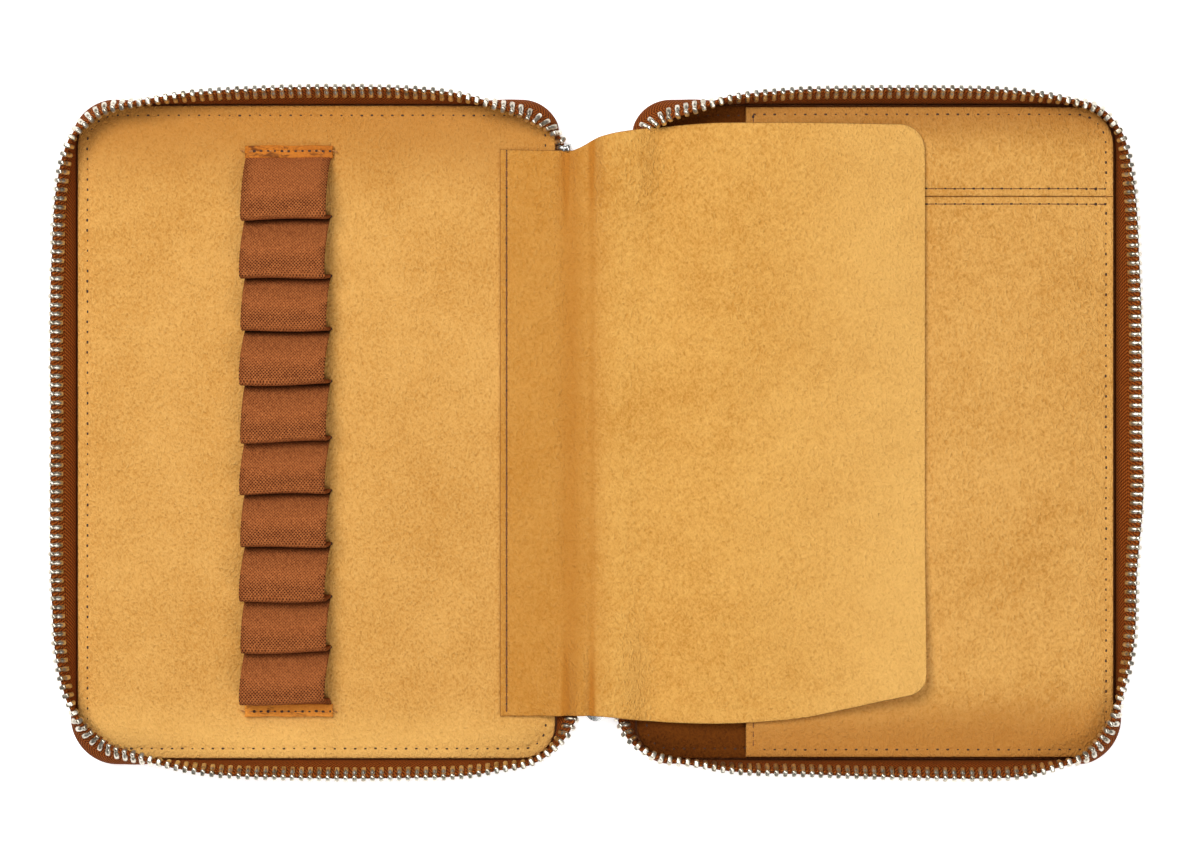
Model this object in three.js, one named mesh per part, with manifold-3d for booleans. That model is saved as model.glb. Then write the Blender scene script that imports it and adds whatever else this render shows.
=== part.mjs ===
// Fountain pen case: a zip-round folio lined with tan suede. It lies open and flat with its inside up.
// The pen side is at -X, the pocket side at +X, and the spine runs along Y between them.
// The origin is on the surface that the case lies on, under the middle of the case. Lengths in mm.
import * as THREE from "three";
import { mergeVertices } from "three/addons/utils/BufferGeometryUtils.js";
import Module from "manifold-3d";

const wasm = await Module();
wasm.setup();

// ---------------------------------------------------------------- driving dimensions
const GAP = 0.3; // between pieces that lie on each other

// Each half, measured from the middle of the spine to its outer edge
const FOLD_X = 12; // the two fold lines
const PANEL_INNER_X = FOLD_X + 0.2;
const PANEL_OUTER_X = 155.6;
const PANEL_HALF_Y = 98;
const OUTER_CORNER_R = 12;
const GUTTER_CORNER_R = 10;
const COVER_MARGIN = 1.8; // the leather cover shows this much past the lining
const BOARD_MARGIN = -4; // the board stops short of the edge seam

// Layers, from the table up
const COVER_TOP = 1.6;
const BOARD_BOTTOM = COVER_TOP + GAP;
const BOARD_TOP = 2.9;
const LINING_BOTTOM = BOARD_TOP + GAP;
const LINING_TOP = 4.4;
const SUEDE = 1.2; // thickness of the flap and pocket leather

// Spine strip between the fold lines
const SPINE_HALF_X = FOLD_X - 0.2;
const SPINE_HALF_Y = 84;
const SPINE_LINING_BOTTOM = COVER_TOP + GAP;
const SPINE_LINING_TOP = 2.4;

// Zip tape and teeth: a wall that stands on each half's edge
const TAPE_THICKNESS = 0.9;
const TAPE_FOOT_Z = COVER_TOP + GAP;
const WALL_REACH = 12.1; // from the foot of the tape to the tips of the teeth
const UPRIGHT_SHARE = 0.22; // of the wall, up past the lining
const TAPE_SHARE = 0.7; // of the wall is bare tape
const TEETH_FROM = 0.75; // and the teeth take it from here to the top
const TEETH_THICKNESS = 1.9;
const WALL_STEP = 9; // between stations on the straight sides
const BEND_STEPS = 6;
const TAPE_RISE_STEPS = 3;
const WALL_END_Y = 86.4; // the walls end past the ends of the spine strip
const FLARE_SIDE = 7.6; // how far the tips lean out along the long side
const FLARE_END = 4.7; // and along the two short sides
const FLARE_CORNER_TOP = -4; // at the outer corners
const FLARE_CORNER_BOTTOM = -5.5;
const FLARE_REACH = 22; // a corner pulls the wall in over this distance
const FLARE_FALL = 1.35;
const FLARE_GUTTER_TOP = -4; // at the gutter corners
const FLARE_GUTTER_BOTTOM = 0.5;
const FLARE_TIP = 4.4; // the two ends lean out over the gutter
const GUTTER_REACH = 34;
const END_SINK = 0.45; // the wall's ends sink to this share of its height
const END_SINK_REACH = 16;
const STOP_SHARE = 0.007; // of the wall's length, taken by the top stop
const STOP_EXTRA = 0.5; // the stop is this much thicker than the teeth

// Pen loops: one elastic band, sewn down between its loops
const LOOP_COUNT = 10;
const LOOP_PITCH = 16.32;
const LOOPS_TOP_Y = 81.9;
const BAND_X = -92;
const BAND_WIDTH = 25.6;
const BAND_THICKNESS = 1.1;
const LOOP_HEIGHT = 9; // of the band's mid-line above its feet
const LOOP_LEAN = 2.2; // the crests lean towards -Y
const LOOP_STEPS = 14;
const TAB_WIDTH = 26.4;
const TAB_DEPTH = 3.8;
const TAB_THICKNESS = 1.6;

// Divider flap: sewn to the pen side and lying over the gutter and the pocket side
const HEM_LEFT_X = -28.8;
const FLAP_START_X = -24.5;
const HEM_HALF_Y = 85;
const FLAP_FREE_X = 98.2;
const FLAP_TOP_Y = 92.7;
const FLAP_BOTTOM_Y = -87.4;
const FLAP_WIDENS_FROM = -6;
const FLAP_WIDENS_TO = 34;
const FLAP_CORNER_TOP_R = 8.5;
const FLAP_CORNER_BOTTOM_R = 5;
const FLAP_FOLDS_END_X = 25;
const FLAP_BOTTOM_RISE = 8; // the lower edge climbs this far towards its free corner
const VALLEY_DEPTH = 1.1; // the flap dips into the gutter
const RIDGE_HEIGHT = 1.5; // and swells up beside it
const OVER_POCKET = 2.6; // it then climbs onto the pocket,
const OVER_SLIDER = 5.9; // over the slider at the lower end
const OVER_TAPE_END = 3.4; // and over the end of the tape at the upper one
const CORNER_CURL = 5; // the lower free corner lifts
const FLAP_STEPS_X = 22;
const FLAP_STEPS_Y = 12;

// Pocket: open towards the spine, sewn along its other three sides
const POCKET_MOUTH_X = 44.8;
const POCKET_INSET = 0.6;
const POCKET_SEAM_Y = 70.5;
const SEAM_STRIP_DEPTH = 9;
const SEAM_STRIP_THICKNESS = 0.7;

// Zip slider, parked at the bottom end of the gutter
const SLIDER_NOSE_Y = -86.3;
const SLIDER_TAIL_Y = -73.5;
const SLIDER_HALF_X = 4.4;
const SLIDER_NOSE_HALF_X = 2.6;
const SLIDER_BOTTOM = 4.6;
const SLIDER_TOP = 9.6;
const PLATE = 1.2;
const SHOULDER_AT = 4.5; // the slider's nose reaches its full width this far back
const POST_AT = 1.2; // the wedge between the plates starts this far behind the nose
const POST_LENGTH = 5;
const POST_HALF_X = 1.5;
const POST_SINK = 0.2; // the wedge and the plates run into each other by this much
const FLANGE_WIDTH = 0.8; // the slider's side flanges, which hold the rows of teeth in
const FLANGE_LENGTH = 7;
const FLANGE_HEIGHT = 1.5;
const FLANGE_FROM_TAIL = 0.1;
const FLANGE_SINK = 0.4;
const BRIDGE_FRONT_Y = -74.1;
const BRIDGE_BACK_Y = -80.5;
const BRIDGE_STRAP = 0.3; // thickness of the strap
const BRIDGE_WIDTH = 1.6;
const PULL_PIVOT_Y = -76;
const PULL_PIVOT_Z = 3.68;
const PULL_LENGTH = 20;
const PULL_HALF_X = 2.9;
const PULL_THICKNESS = 0.7;
const PULL_ROOT_HALF_X = 1.8; // half width at the eye
const PULL_BEHIND_PIVOT = 1.6;
const PULL_SHOULDER_AT = 6; // full width this far past the pivot
const PULL_ROUND = 2; // the tip rounds off over this length
const EYE_HALF_X = 1.15;
const EYE_BEHIND_PIVOT = 0.6;
const EYE_PAST_PIVOT = 2.6;
const STOP_WIDTH = 6; // the bottom stop
const STOP_LENGTH = 2.2;
const STOP_HEIGHT = 2.4;
const STOP_Z = 7;

// ---------------------------------------------------------------- materials
const material = (name, color, roughness, metalness = 0) =>
  new THREE.MeshStandardMaterial({ name, color, roughness, metalness });
const suede = () => material("suede", 0xe2a85a, 0.95);
const leather = () => material("leather", 0xb5713a, 0.55);
const board = () => material("board", 0x8d7a63, 0.9);
const elastic = () => material("elastic", 0x9c5c35, 0.9);
const tapeCloth = () => material("tape_cloth", 0x7a451c, 0.9);
const brass = () => material("brass", 0xc9b48a, 0.35, 1);
const nickel = () => material("nickel", 0xc4c4c0, 0.25, 1);

const part = new THREE.Group();
part.name = "fountain_pen_case";

function add(name, geometry, look) {
  const mesh = new THREE.Mesh(geometry, look);
  mesh.name = name;
  part.add(mesh);
  return mesh;
}

// ---------------------------------------------------------------- helpers
const lerp = THREE.MathUtils.lerp;
const smooth = THREE.MathUtils.smoothstep;

// A box whose corners and steps are carried to new places: place(u, v, w) has u, v and w from 0 to 1.
function shapedBox(stepsU, stepsV, stepsW, place) {
  const box = new THREE.BoxGeometry(1, 1, 1, stepsU, stepsV, stepsW);
  const at = box.attributes.position;
  for (let i = 0; i < at.count; i += 1) {
    const p = place(at.getX(i) + 0.5, at.getY(i) + 0.5, at.getZ(i) + 0.5);
    at.setXYZ(i, p.x, p.y, p.z);
  }
  box.computeVertexNormals();
  return box;
}

// A flat plate of the given outline, from one height to another.
function plate(outline, bottom, top, curveSegments = 5) {
  const depth = top - bottom;
  const solid = new THREE.ExtrudeGeometry(outline, { depth, bevelEnabled: false, curveSegments });
  return solid.translate(0, 0, bottom);
}

// A rectangle with four corner radii, given anticlockwise from the lower left.
function roundedRectangle(x0, x1, y0, y1, [lowerLeft, lowerRight, upperRight, upperLeft]) {
  const quarter = Math.PI / 2;
  const s = new THREE.Shape();
  s.moveTo(x0 + lowerLeft, y0);
  s.lineTo(x1 - lowerRight, y0);
  if (lowerRight > 0) s.absarc(x1 - lowerRight, y0 + lowerRight, lowerRight, -quarter, 0);
  s.lineTo(x1, y1 - upperRight);
  if (upperRight > 0) s.absarc(x1 - upperRight, y1 - upperRight, upperRight, 0, quarter);
  s.lineTo(x0 + upperLeft, y1);
  if (upperLeft > 0) s.absarc(x0 + upperLeft, y1 - upperLeft, upperLeft, quarter, 2 * quarter);
  s.lineTo(x0, y0 + lowerLeft);
  if (lowerLeft > 0) s.absarc(x0 + lowerLeft, y0 + lowerLeft, lowerLeft, 2 * quarter, 3 * quarter);
  return s;
}

const solidOf = (geometry) => {
  const bare = geometry.clone();
  bare.deleteAttribute("normal");
  bare.deleteAttribute("uv");
  const merged = mergeVertices(bare, 1e-4);
  return new wasm.Manifold(
    new wasm.Mesh({
      numProp: 3,
      vertProperties: new Float32Array(merged.attributes.position.array),
      triVerts: new Uint32Array(merged.index.array),
    }),
  );
};

function geometryOf(solid) {
  const mesh = solid.getMesh();
  const geometry = new THREE.BufferGeometry();
  geometry.setAttribute("position", new THREE.BufferAttribute(mesh.vertProperties, 3));
  geometry.setIndex(new THREE.BufferAttribute(mesh.triVerts, 1));
  return geometry;
}

// ---------------------------------------------------------------- the two padded halves
// side is -1 for the pen side and +1 for the pocket side; margin grows or shrinks the outline.
function panelOutline(side, margin) {
  const inner = PANEL_INNER_X;
  const outer = PANEL_OUTER_X + margin;
  const halfY = PANEL_HALF_Y + margin;
  const big = OUTER_CORNER_R + margin;
  const small = GUTTER_CORNER_R + margin;
  return side < 0
    ? roundedRectangle(-outer, -inner, -halfY, halfY, [big, small, small, big])
    : roundedRectangle(inner, outer, -halfY, halfY, [small, big, big, small]);
}

function addHalf(side, name) {
  add("cover_" + name, plate(panelOutline(side, COVER_MARGIN), 0, COVER_TOP), leather());
  add("board_" + name, plate(panelOutline(side, BOARD_MARGIN), BOARD_BOTTOM, BOARD_TOP), board());
  add("lining_" + name, plate(panelOutline(side, 0), LINING_BOTTOM, LINING_TOP), suede());
}

// ---------------------------------------------------------------- zip tape and teeth
// The foot of the wall follows the lining's edge from the upper gutter end, round the outer corners,
// to the lower gutter end. It is drawn for the pocket side; the pen side mirrors it.
const FOOT_OFFSET = GAP + TAPE_THICKNESS / 2 + 0.05;
const footPath = new THREE.Path();
{
  const quarter = Math.PI / 2;
  const inner = PANEL_INNER_X - FOOT_OFFSET;
  const outer = PANEL_OUTER_X + FOOT_OFFSET;
  const halfY = PANEL_HALF_Y + FOOT_OFFSET;
  const small = GUTTER_CORNER_R + FOOT_OFFSET;
  const big = OUTER_CORNER_R + FOOT_OFFSET;
  footPath.moveTo(inner, WALL_END_Y);
  footPath.lineTo(inner, halfY - small);
  footPath.absarc(inner + small, halfY - small, small, 2 * quarter, quarter, true);
  footPath.lineTo(outer - big, halfY);
  footPath.absarc(outer - big, halfY - big, big, quarter, 0, true);
  footPath.lineTo(outer, big - halfY);
  footPath.absarc(outer - big, big - halfY, big, 0, -quarter, true);
  footPath.lineTo(inner + small, -halfY);
  footPath.absarc(inner + small, small - halfY, small, -quarter, -2 * quarter, true);
  footPath.lineTo(inner, -WALL_END_Y);
}
const WALL_LENGTH = footPath.getLength();
const [endLine, gutterArc, shortSide, outerArc] = footPath.curves.map((curve) => curve.getLength());
const GUTTER_CORNER_AT = endLine + gutterArc / 2;
const OUTER_CORNER_AT = endLine + gutterArc + shortSide + outerArc / 2;

// How far the tips of the teeth lean out past the foot, at a distance s along the wall.
function flareAt(s) {
  const upper = s < WALL_LENGTH / 2;
  const along = upper ? s : WALL_LENGTH - s;
  const straight = along > OUTER_CORNER_AT ? FLARE_SIDE : FLARE_END;
  const pull = Math.exp(-((Math.abs(along - OUTER_CORNER_AT) / FLARE_REACH) ** FLARE_FALL));
  const outward = lerp(straight, upper ? FLARE_CORNER_TOP : FLARE_CORNER_BOTTOM, pull);
  const gutter = upper ? FLARE_GUTTER_TOP : FLARE_GUTTER_BOTTOM;
  const past = lerp(gutter, outward, smooth(along, GUTTER_CORNER_AT, GUTTER_CORNER_AT + GUTTER_REACH));
  return lerp(FLARE_TIP, past, smooth(along, 0, GUTTER_CORNER_AT));
}

// Stations along the wall, as shares of its length: close together in the bends.
const stations = [0];
footPath.curves.forEach((curve) => {
  const length = curve.getLength();
  const steps = curve.isLineCurve ? Math.ceil(length / WALL_STEP) : BEND_STEPS;
  const before = stations[stations.length - 1];
  for (let i = 1; i <= steps; i += 1) stations.push(before + (length * i) / steps / WALL_LENGTH);
});

// A point of the wall: along is 0 to 1 from end to end, rise is 0 at the foot and 1 at the tips,
// off is measured square to the wall, outwards.
function wallPoint(side, along, rise, off) {
  const share = Math.min(along, 1);
  const foot = footPath.getPointAt(share);
  const t = footPath.getTangentAt(share);
  const out = new THREE.Vector2(-t.y, t.x);
  const flare = flareAt(share * WALL_LENGTH);
  const fromEnd = Math.min(share, 1 - share) * WALL_LENGTH;
  const sink = lerp(END_SINK, 1, smooth(fromEnd, 0, END_SINK_REACH));
  const height = sink * Math.sqrt(WALL_REACH ** 2 - flare ** 2);
  // The wall stands upright past the lining's edge, then bends towards its flare.
  const bend = Math.max(rise - UPRIGHT_SHARE, 0) / (1 - UPRIGHT_SHARE);
  const slope = new THREE.Vector2((2 * flare * bend) / (1 - UPRIGHT_SHARE), height).normalize();
  const outwards = flare * bend * bend + slope.y * off;
  return new THREE.Vector3(
    side * (foot.x + out.x * outwards),
    foot.y + out.y * outwards,
    TAPE_FOOT_Z + height * rise - slope.x * off,
  );
}

function wallStrip(side, places, low, high, riseSteps, thickness) {
  const steps = places.length - 1;
  return shapedBox(steps, 1, riseSteps, (u, v, w) => {
    const off = (side > 0 ? v - 0.5 : 0.5 - v) * thickness;
    return wallPoint(side, places[Math.round(u * steps)], lerp(low, high, w), off);
  });
}

function addZipSide(side, name) {
  const tape = wallStrip(side, stations, 0, TAPE_SHARE, TAPE_RISE_STEPS, TAPE_THICKNESS);
  add("tape_" + name, tape, tapeCloth());
  const start = STOP_SHARE + GAP / WALL_LENGTH;
  const places = [start, ...stations.filter((share) => share > start)];
  const teeth = wallStrip(side, places, TEETH_FROM, 1, 1, TEETH_THICKNESS);
  add("teeth_" + name, teeth, brass());
  const stop = wallStrip(side, [0, STOP_SHARE], TEETH_FROM, 1, 1, TEETH_THICKNESS + STOP_EXTRA);
  add("top_stop_" + name, stop, nickel());
}

// ---------------------------------------------------------------- pen loops
// The band's mid-line over one loop, with turn from 0 to pi: it leans towards -Y and overhangs there.
function loopLine(topY, turn) {
  const span = LOOP_PITCH - BAND_THICKNESS - GAP;
  const start = topY - BAND_THICKNESS / 2 - GAP / 2;
  const y = start - (span / 2) * (1 - Math.cos(turn)) - LOOP_LEAN * Math.sin(turn);
  const z = LINING_TOP + GAP + BAND_THICKNESS / 2 + LOOP_HEIGHT * Math.sin(turn) ** 0.85;
  return new THREE.Vector2(y, z);
}

function loopGeometry(topY) {
  return shapedBox(1, LOOP_STEPS, 1, (u, v, w) => {
    const turn = Math.PI * v;
    const nudge = 0.02;
    const at = loopLine(topY, turn);
    const before = loopLine(topY, Math.max(turn - nudge, 0));
    const after = loopLine(topY, Math.min(turn + nudge, Math.PI));
    const normal = new THREE.Vector2(after.y - before.y, before.x - after.x).normalize();
    const off = (w - 0.5) * BAND_THICKNESS;
    return new THREE.Vector3(
      BAND_X + (0.5 - u) * BAND_WIDTH,
      at.x + normal.x * off,
      Math.max(at.y + normal.y * off, LINING_TOP + GAP),
    );
  });
}

function addPenLoops() {
  for (let i = 0; i < LOOP_COUNT; i += 1) {
    const name = "pen_loop_" + String(i + 1).padStart(2, "0");
    add(name, loopGeometry(LOOPS_TOP_Y - i * LOOP_PITCH), elastic());
  }
}

function addTab(name, y0) {
  const half = TAB_WIDTH / 2;
  const outline = roundedRectangle(BAND_X - half, BAND_X + half, y0, y0 + TAB_DEPTH, [0.6, 0.6, 0.6, 0.6]);
  add(name, plate(outline, LINING_TOP + GAP, LINING_TOP + GAP + TAB_THICKNESS, 2), leather());
}

// ---------------------------------------------------------------- divider flap
// Upper and lower edges of the flap: level beside the seam, then an S-curve out to the full width.
function flapTop(x) {
  const edge = lerp(HEM_HALF_Y, FLAP_TOP_Y, smooth(x, FLAP_WIDENS_FROM, FLAP_WIDENS_TO));
  const into = Math.max(x - (FLAP_FREE_X - FLAP_CORNER_TOP_R), 0);
  return edge - FLAP_CORNER_TOP_R + Math.sqrt(FLAP_CORNER_TOP_R ** 2 - into ** 2);
}

function flapBottom(x) {
  const edge = lerp(-HEM_HALF_Y, FLAP_BOTTOM_Y, smooth(x, FLAP_WIDENS_FROM, FLAP_WIDENS_TO));
  const rise = FLAP_BOTTOM_RISE * smooth(x, 50, FLAP_FREE_X);
  const into = Math.max(x - (FLAP_FREE_X - FLAP_CORNER_BOTTOM_R), 0);
  return edge + rise + FLAP_CORNER_BOTTOM_R - Math.sqrt(FLAP_CORNER_BOTTOM_R ** 2 - into ** 2);
}

// A swell of the given height across the flap, with its half width in x; a higher power is flatter on top.
function swell(x, height, centre, halfWidth, power) {
  return height * Math.exp(-(Math.abs((x - centre) / halfWidth) ** power));
}

// Height of the flap's underside: down into the gutter, up over the slider, and level over the pocket.
function flapUnderside(x, y) {
  const rest = LINING_TOP + GAP;
  const valley = swell(x, -VALLEY_DEPTH, -6.5, 3.2, 2);
  const ridge = swell(x, RIDGE_HEIGHT, 4, 6, 2);
  const overPocket = OVER_POCKET * smooth(x, 8, POCKET_MOUTH_X);
  const overSlider = swell(x, OVER_SLIDER, 0, 11, 4) * smooth(-y, 40, 71);
  const overTapeEnd = swell(x, OVER_TAPE_END, 8, 9, 4) * smooth(y, 50, 84);
  const curl = CORNER_CURL * smooth(x, 60, FLAP_FREE_X) * smooth(-y, 20, 88);
  return rest + valley + Math.max(ridge, overSlider) + overPocket + overTapeEnd + curl;
}

function flapGeometry() {
  return shapedBox(FLAP_STEPS_X, FLAP_STEPS_Y, 1, (u, v, w) => {
    // Half of the stations serve the gutter's folds, and the rest crowd towards the round free corners.
    const far = Math.max(2 * u - 1, 0);
    const crowded = far * (1.4 - 0.4 * far);
    const inFolds = lerp(FLAP_START_X, FLAP_FOLDS_END_X, 2 * u);
    const x = u < 0.5 ? inFolds : lerp(FLAP_FOLDS_END_X, FLAP_FREE_X, crowded);
    const y = lerp(flapBottom(x), flapTop(x), v);
    return new THREE.Vector3(x, y, flapUnderside(x, y) + w * SUEDE);
  });
}

function addFlap() {
  const hem = roundedRectangle(HEM_LEFT_X, FLAP_START_X - GAP, -HEM_HALF_Y, HEM_HALF_Y, [0, 0, 0, 0]);
  add("divider_flap_hem", plate(hem, LINING_TOP + GAP, LINING_TOP + GAP + SUEDE), suede());
  add("divider_flap", flapGeometry(), suede());
}

// ---------------------------------------------------------------- pocket
function addPocket() {
  const outer = PANEL_OUTER_X - POCKET_INSET;
  const halfY = PANEL_HALF_Y - POCKET_INSET;
  const r = OUTER_CORNER_R - POCKET_INSET;
  const stripTop = LINING_TOP + GAP + SEAM_STRIP_THICKNESS;
  const panelBottom = stripTop + GAP;
  const panelTop = panelBottom + SUEDE;
  const main = roundedRectangle(POCKET_MOUTH_X, outer, -halfY, POCKET_SEAM_Y - GAP / 2, [0, r, 0, 0]);
  add("pocket_main", plate(main, panelBottom, panelTop), suede());
  const top = roundedRectangle(POCKET_MOUTH_X, outer, POCKET_SEAM_Y + GAP / 2, halfY, [0, 0, r, 0]);
  add("pocket_top_strip", plate(top, panelBottom, panelTop), suede());
  const low = POCKET_SEAM_Y - SEAM_STRIP_DEPTH / 2;
  const high = POCKET_SEAM_Y + SEAM_STRIP_DEPTH / 2;
  const seam = roundedRectangle(POCKET_MOUTH_X, outer, low, high, [0, 0, 0, 0]);
  add("pocket_seam_strip", plate(seam, LINING_TOP + GAP, stripTop), suede());
}

// ---------------------------------------------------------------- spine and slider
function addSpine() {
  const outline = roundedRectangle(-SPINE_HALF_X, SPINE_HALF_X, -SPINE_HALF_Y, SPINE_HALF_Y, [2, 2, 2, 2]);
  add("spine_cover", plate(outline, 0, COVER_TOP, 3), leather());
  add("spine_lining", plate(outline, SPINE_LINING_BOTTOM, SPINE_LINING_TOP, 3), suede());
}

// The slider's plates: a rounded nose that widens to the tail.
function sliderOutline() {
  const shoulder = SLIDER_NOSE_Y + SHOULDER_AT;
  const s = new THREE.Shape();
  s.moveTo(-SLIDER_HALF_X, SLIDER_TAIL_Y);
  s.lineTo(-SLIDER_HALF_X, shoulder);
  s.quadraticCurveTo(-SLIDER_NOSE_HALF_X, SLIDER_NOSE_Y, 0, SLIDER_NOSE_Y);
  s.quadraticCurveTo(SLIDER_NOSE_HALF_X, SLIDER_NOSE_Y, SLIDER_HALF_X, shoulder);
  s.lineTo(SLIDER_HALF_X, SLIDER_TAIL_Y);
  return s;
}

function sliderBody() {
  const lower = solidOf(plate(sliderOutline(), SLIDER_BOTTOM, SLIDER_BOTTOM + PLATE));
  const upper = solidOf(plate(sliderOutline(), SLIDER_TOP - PLATE, SLIDER_TOP));
  const postY = SLIDER_NOSE_Y + POST_AT;
  const post = new THREE.Shape();
  post.moveTo(0, postY + POST_LENGTH);
  post.lineTo(-POST_HALF_X, postY + 1);
  post.lineTo(-1, postY);
  post.lineTo(1, postY);
  post.lineTo(POST_HALF_X, postY + 1);
  let body = lower.add(upper);
  body = body.add(solidOf(plate(post, SLIDER_BOTTOM + POST_SINK, SLIDER_TOP - POST_SINK)));
  const flangeY = SLIDER_TAIL_Y - FLANGE_FROM_TAIL - FLANGE_LENGTH / 2;
  for (const side of [-1, 1]) {
    for (const z of [SLIDER_BOTTOM + FLANGE_SINK, SLIDER_TOP - FLANGE_SINK - FLANGE_HEIGHT]) {
      const flange = new THREE.BoxGeometry(FLANGE_WIDTH, FLANGE_LENGTH, FLANGE_HEIGHT);
      flange.translate(side * (SLIDER_HALF_X - FLANGE_WIDTH / 2), flangeY, z + FLANGE_HEIGHT / 2);
      body = body.add(solidOf(flange));
    }
  }
  return geometryOf(body);
}

// The bridge is a strap under the slider, and the pull's eye hangs in it.
function bridgeGeometry() {
  const s = new THREE.Shape();
  const top = SLIDER_BOTTOM - GAP;
  const low = SPINE_LINING_TOP + GAP;
  s.moveTo(BRIDGE_BACK_Y, top);
  s.lineTo(BRIDGE_BACK_Y + 1, low);
  s.lineTo(BRIDGE_FRONT_Y - 1, low);
  s.lineTo(BRIDGE_FRONT_Y, top);
  s.lineTo(BRIDGE_FRONT_Y - 1, top);
  s.lineTo(BRIDGE_FRONT_Y - 1 - BRIDGE_STRAP, low + BRIDGE_STRAP);
  s.lineTo(BRIDGE_BACK_Y + 1 + BRIDGE_STRAP, low + BRIDGE_STRAP);
  s.lineTo(BRIDGE_BACK_Y + 1, top);
  const strap = new THREE.ExtrudeGeometry(s, { depth: BRIDGE_WIDTH, bevelEnabled: false });
  return strap.rotateX(Math.PI / 2).rotateZ(Math.PI / 2).translate(-BRIDGE_WIDTH / 2, 0, 0);
}

function pullGeometry() {
  const s = new THREE.Shape();
  const tip = PULL_PIVOT_Y + PULL_LENGTH;
  const shoulder = PULL_PIVOT_Y + PULL_SHOULDER_AT;
  s.moveTo(-PULL_ROOT_HALF_X, PULL_PIVOT_Y - PULL_BEHIND_PIVOT);
  s.lineTo(PULL_ROOT_HALF_X, PULL_PIVOT_Y - PULL_BEHIND_PIVOT);
  s.lineTo(PULL_HALF_X, shoulder);
  s.lineTo(PULL_HALF_X, tip - PULL_ROUND);
  s.quadraticCurveTo(PULL_HALF_X, tip, 0, tip);
  s.quadraticCurveTo(-PULL_HALF_X, tip, -PULL_HALF_X, tip - PULL_ROUND);
  s.lineTo(-PULL_HALF_X, shoulder);
  const eye = new THREE.Path();
  eye.moveTo(-EYE_HALF_X, PULL_PIVOT_Y - EYE_BEHIND_PIVOT);
  eye.lineTo(-EYE_HALF_X, PULL_PIVOT_Y + EYE_PAST_PIVOT);
  eye.lineTo(EYE_HALF_X, PULL_PIVOT_Y + EYE_PAST_PIVOT);
  eye.lineTo(EYE_HALF_X, PULL_PIVOT_Y - EYE_BEHIND_PIVOT);
  s.holes.push(eye);
  return plate(s, PULL_PIVOT_Z - PULL_THICKNESS / 2, PULL_PIVOT_Z + PULL_THICKNESS / 2, 4);
}

function addSlider() {
  add("slider_body", sliderBody(), nickel());
  add("slider_bridge", bridgeGeometry(), nickel());
  add("pull_tab", pullGeometry(), nickel());
  const stop = new THREE.BoxGeometry(STOP_WIDTH, STOP_LENGTH, STOP_HEIGHT);
  add("bottom_stop", stop.translate(0, SLIDER_TAIL_Y + GAP + STOP_LENGTH / 2, STOP_Z), nickel());
}

// ---------------------------------------------------------------- assembly
addHalf(-1, "left");
addHalf(1, "right");
addSpine();
addZipSide(-1, "left");
addZipSide(1, "right");
addPenLoops();
addTab("loop_tab_top", LOOPS_TOP_Y + GAP / 2);
addTab("loop_tab_bottom", LOOPS_TOP_Y - LOOP_COUNT * LOOP_PITCH - TAB_DEPTH - GAP / 2);
addFlap();
addPocket();
addSlider();

export default part;
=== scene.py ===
"""Fountain pen case: a zip-round suede folio that lies open and flat, seen from above.

Lengths in the numbers below are millimetres, and MM turns them into metres when a mesh is made.
"""

import math
from functools import partial

import bmesh
import bpy
import numpy as np
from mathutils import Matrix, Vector


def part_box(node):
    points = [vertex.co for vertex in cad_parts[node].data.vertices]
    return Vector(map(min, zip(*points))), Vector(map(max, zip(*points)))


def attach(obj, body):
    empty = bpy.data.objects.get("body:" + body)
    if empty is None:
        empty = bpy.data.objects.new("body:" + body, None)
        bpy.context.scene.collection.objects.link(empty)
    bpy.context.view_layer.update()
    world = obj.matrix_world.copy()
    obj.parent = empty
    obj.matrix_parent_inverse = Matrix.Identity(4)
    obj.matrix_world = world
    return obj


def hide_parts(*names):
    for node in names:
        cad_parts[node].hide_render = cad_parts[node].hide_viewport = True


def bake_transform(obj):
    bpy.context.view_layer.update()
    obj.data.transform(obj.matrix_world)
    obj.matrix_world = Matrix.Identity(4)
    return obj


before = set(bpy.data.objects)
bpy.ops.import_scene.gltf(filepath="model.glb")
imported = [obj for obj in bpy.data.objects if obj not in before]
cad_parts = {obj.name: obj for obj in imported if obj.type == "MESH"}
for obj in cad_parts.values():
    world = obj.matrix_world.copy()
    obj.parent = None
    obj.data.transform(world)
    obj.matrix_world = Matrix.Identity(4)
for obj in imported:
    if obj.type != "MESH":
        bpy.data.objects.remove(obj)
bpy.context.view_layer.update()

MM = 0.001
RNG = np.random.default_rng(7)


def cad_box_mm(node):
    """Lowest and highest corner of a CAD node, in millimetres."""
    low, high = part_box(node)
    return np.array(low) / MM, np.array(high) / MM


# ------------------------------------------------------------------ places taken from the CAD frame
LINING_LOW, LINING_HIGH = cad_box_mm("lining_right")
INNER_X, OUTER_X = LINING_LOW[0], LINING_HIGH[0]
HALF_Y = LINING_HIGH[1]
LINING_BOTTOM, LINING_TOP = LINING_LOW[2], LINING_HIGH[2]
COVER_HIGH = cad_box_mm("cover_right")[1]
COVER_TOP = COVER_HIGH[2]
COVER_MARGIN = COVER_HIGH[0] - OUTER_X
SPINE_LOW, SPINE_HIGH = cad_box_mm("spine_cover")
FLAP_LOW, FLAP_HIGH = cad_box_mm("divider_flap")
HEM_LOW, HEM_HIGH = cad_box_mm("divider_flap_hem")
POCKET_LOW, POCKET_HIGH = cad_box_mm("pocket_main")
STRIP_LOW, STRIP_HIGH = cad_box_mm("pocket_top_strip")
LOOP_LOW, LOOP_HIGH = cad_box_mm("pen_loop_01")
TAB_TOP_LOW, TAB_TOP_HIGH = cad_box_mm("loop_tab_top")
TAB_BOTTOM_LOW, TAB_BOTTOM_HIGH = cad_box_mm("loop_tab_bottom")

OUTER_CORNER_R = 12
GUTTER_CORNER_R = 10


# ------------------------------------------------------------------ small maths
def lerp(a, b, t):
    return a + (b - a) * t


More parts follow.
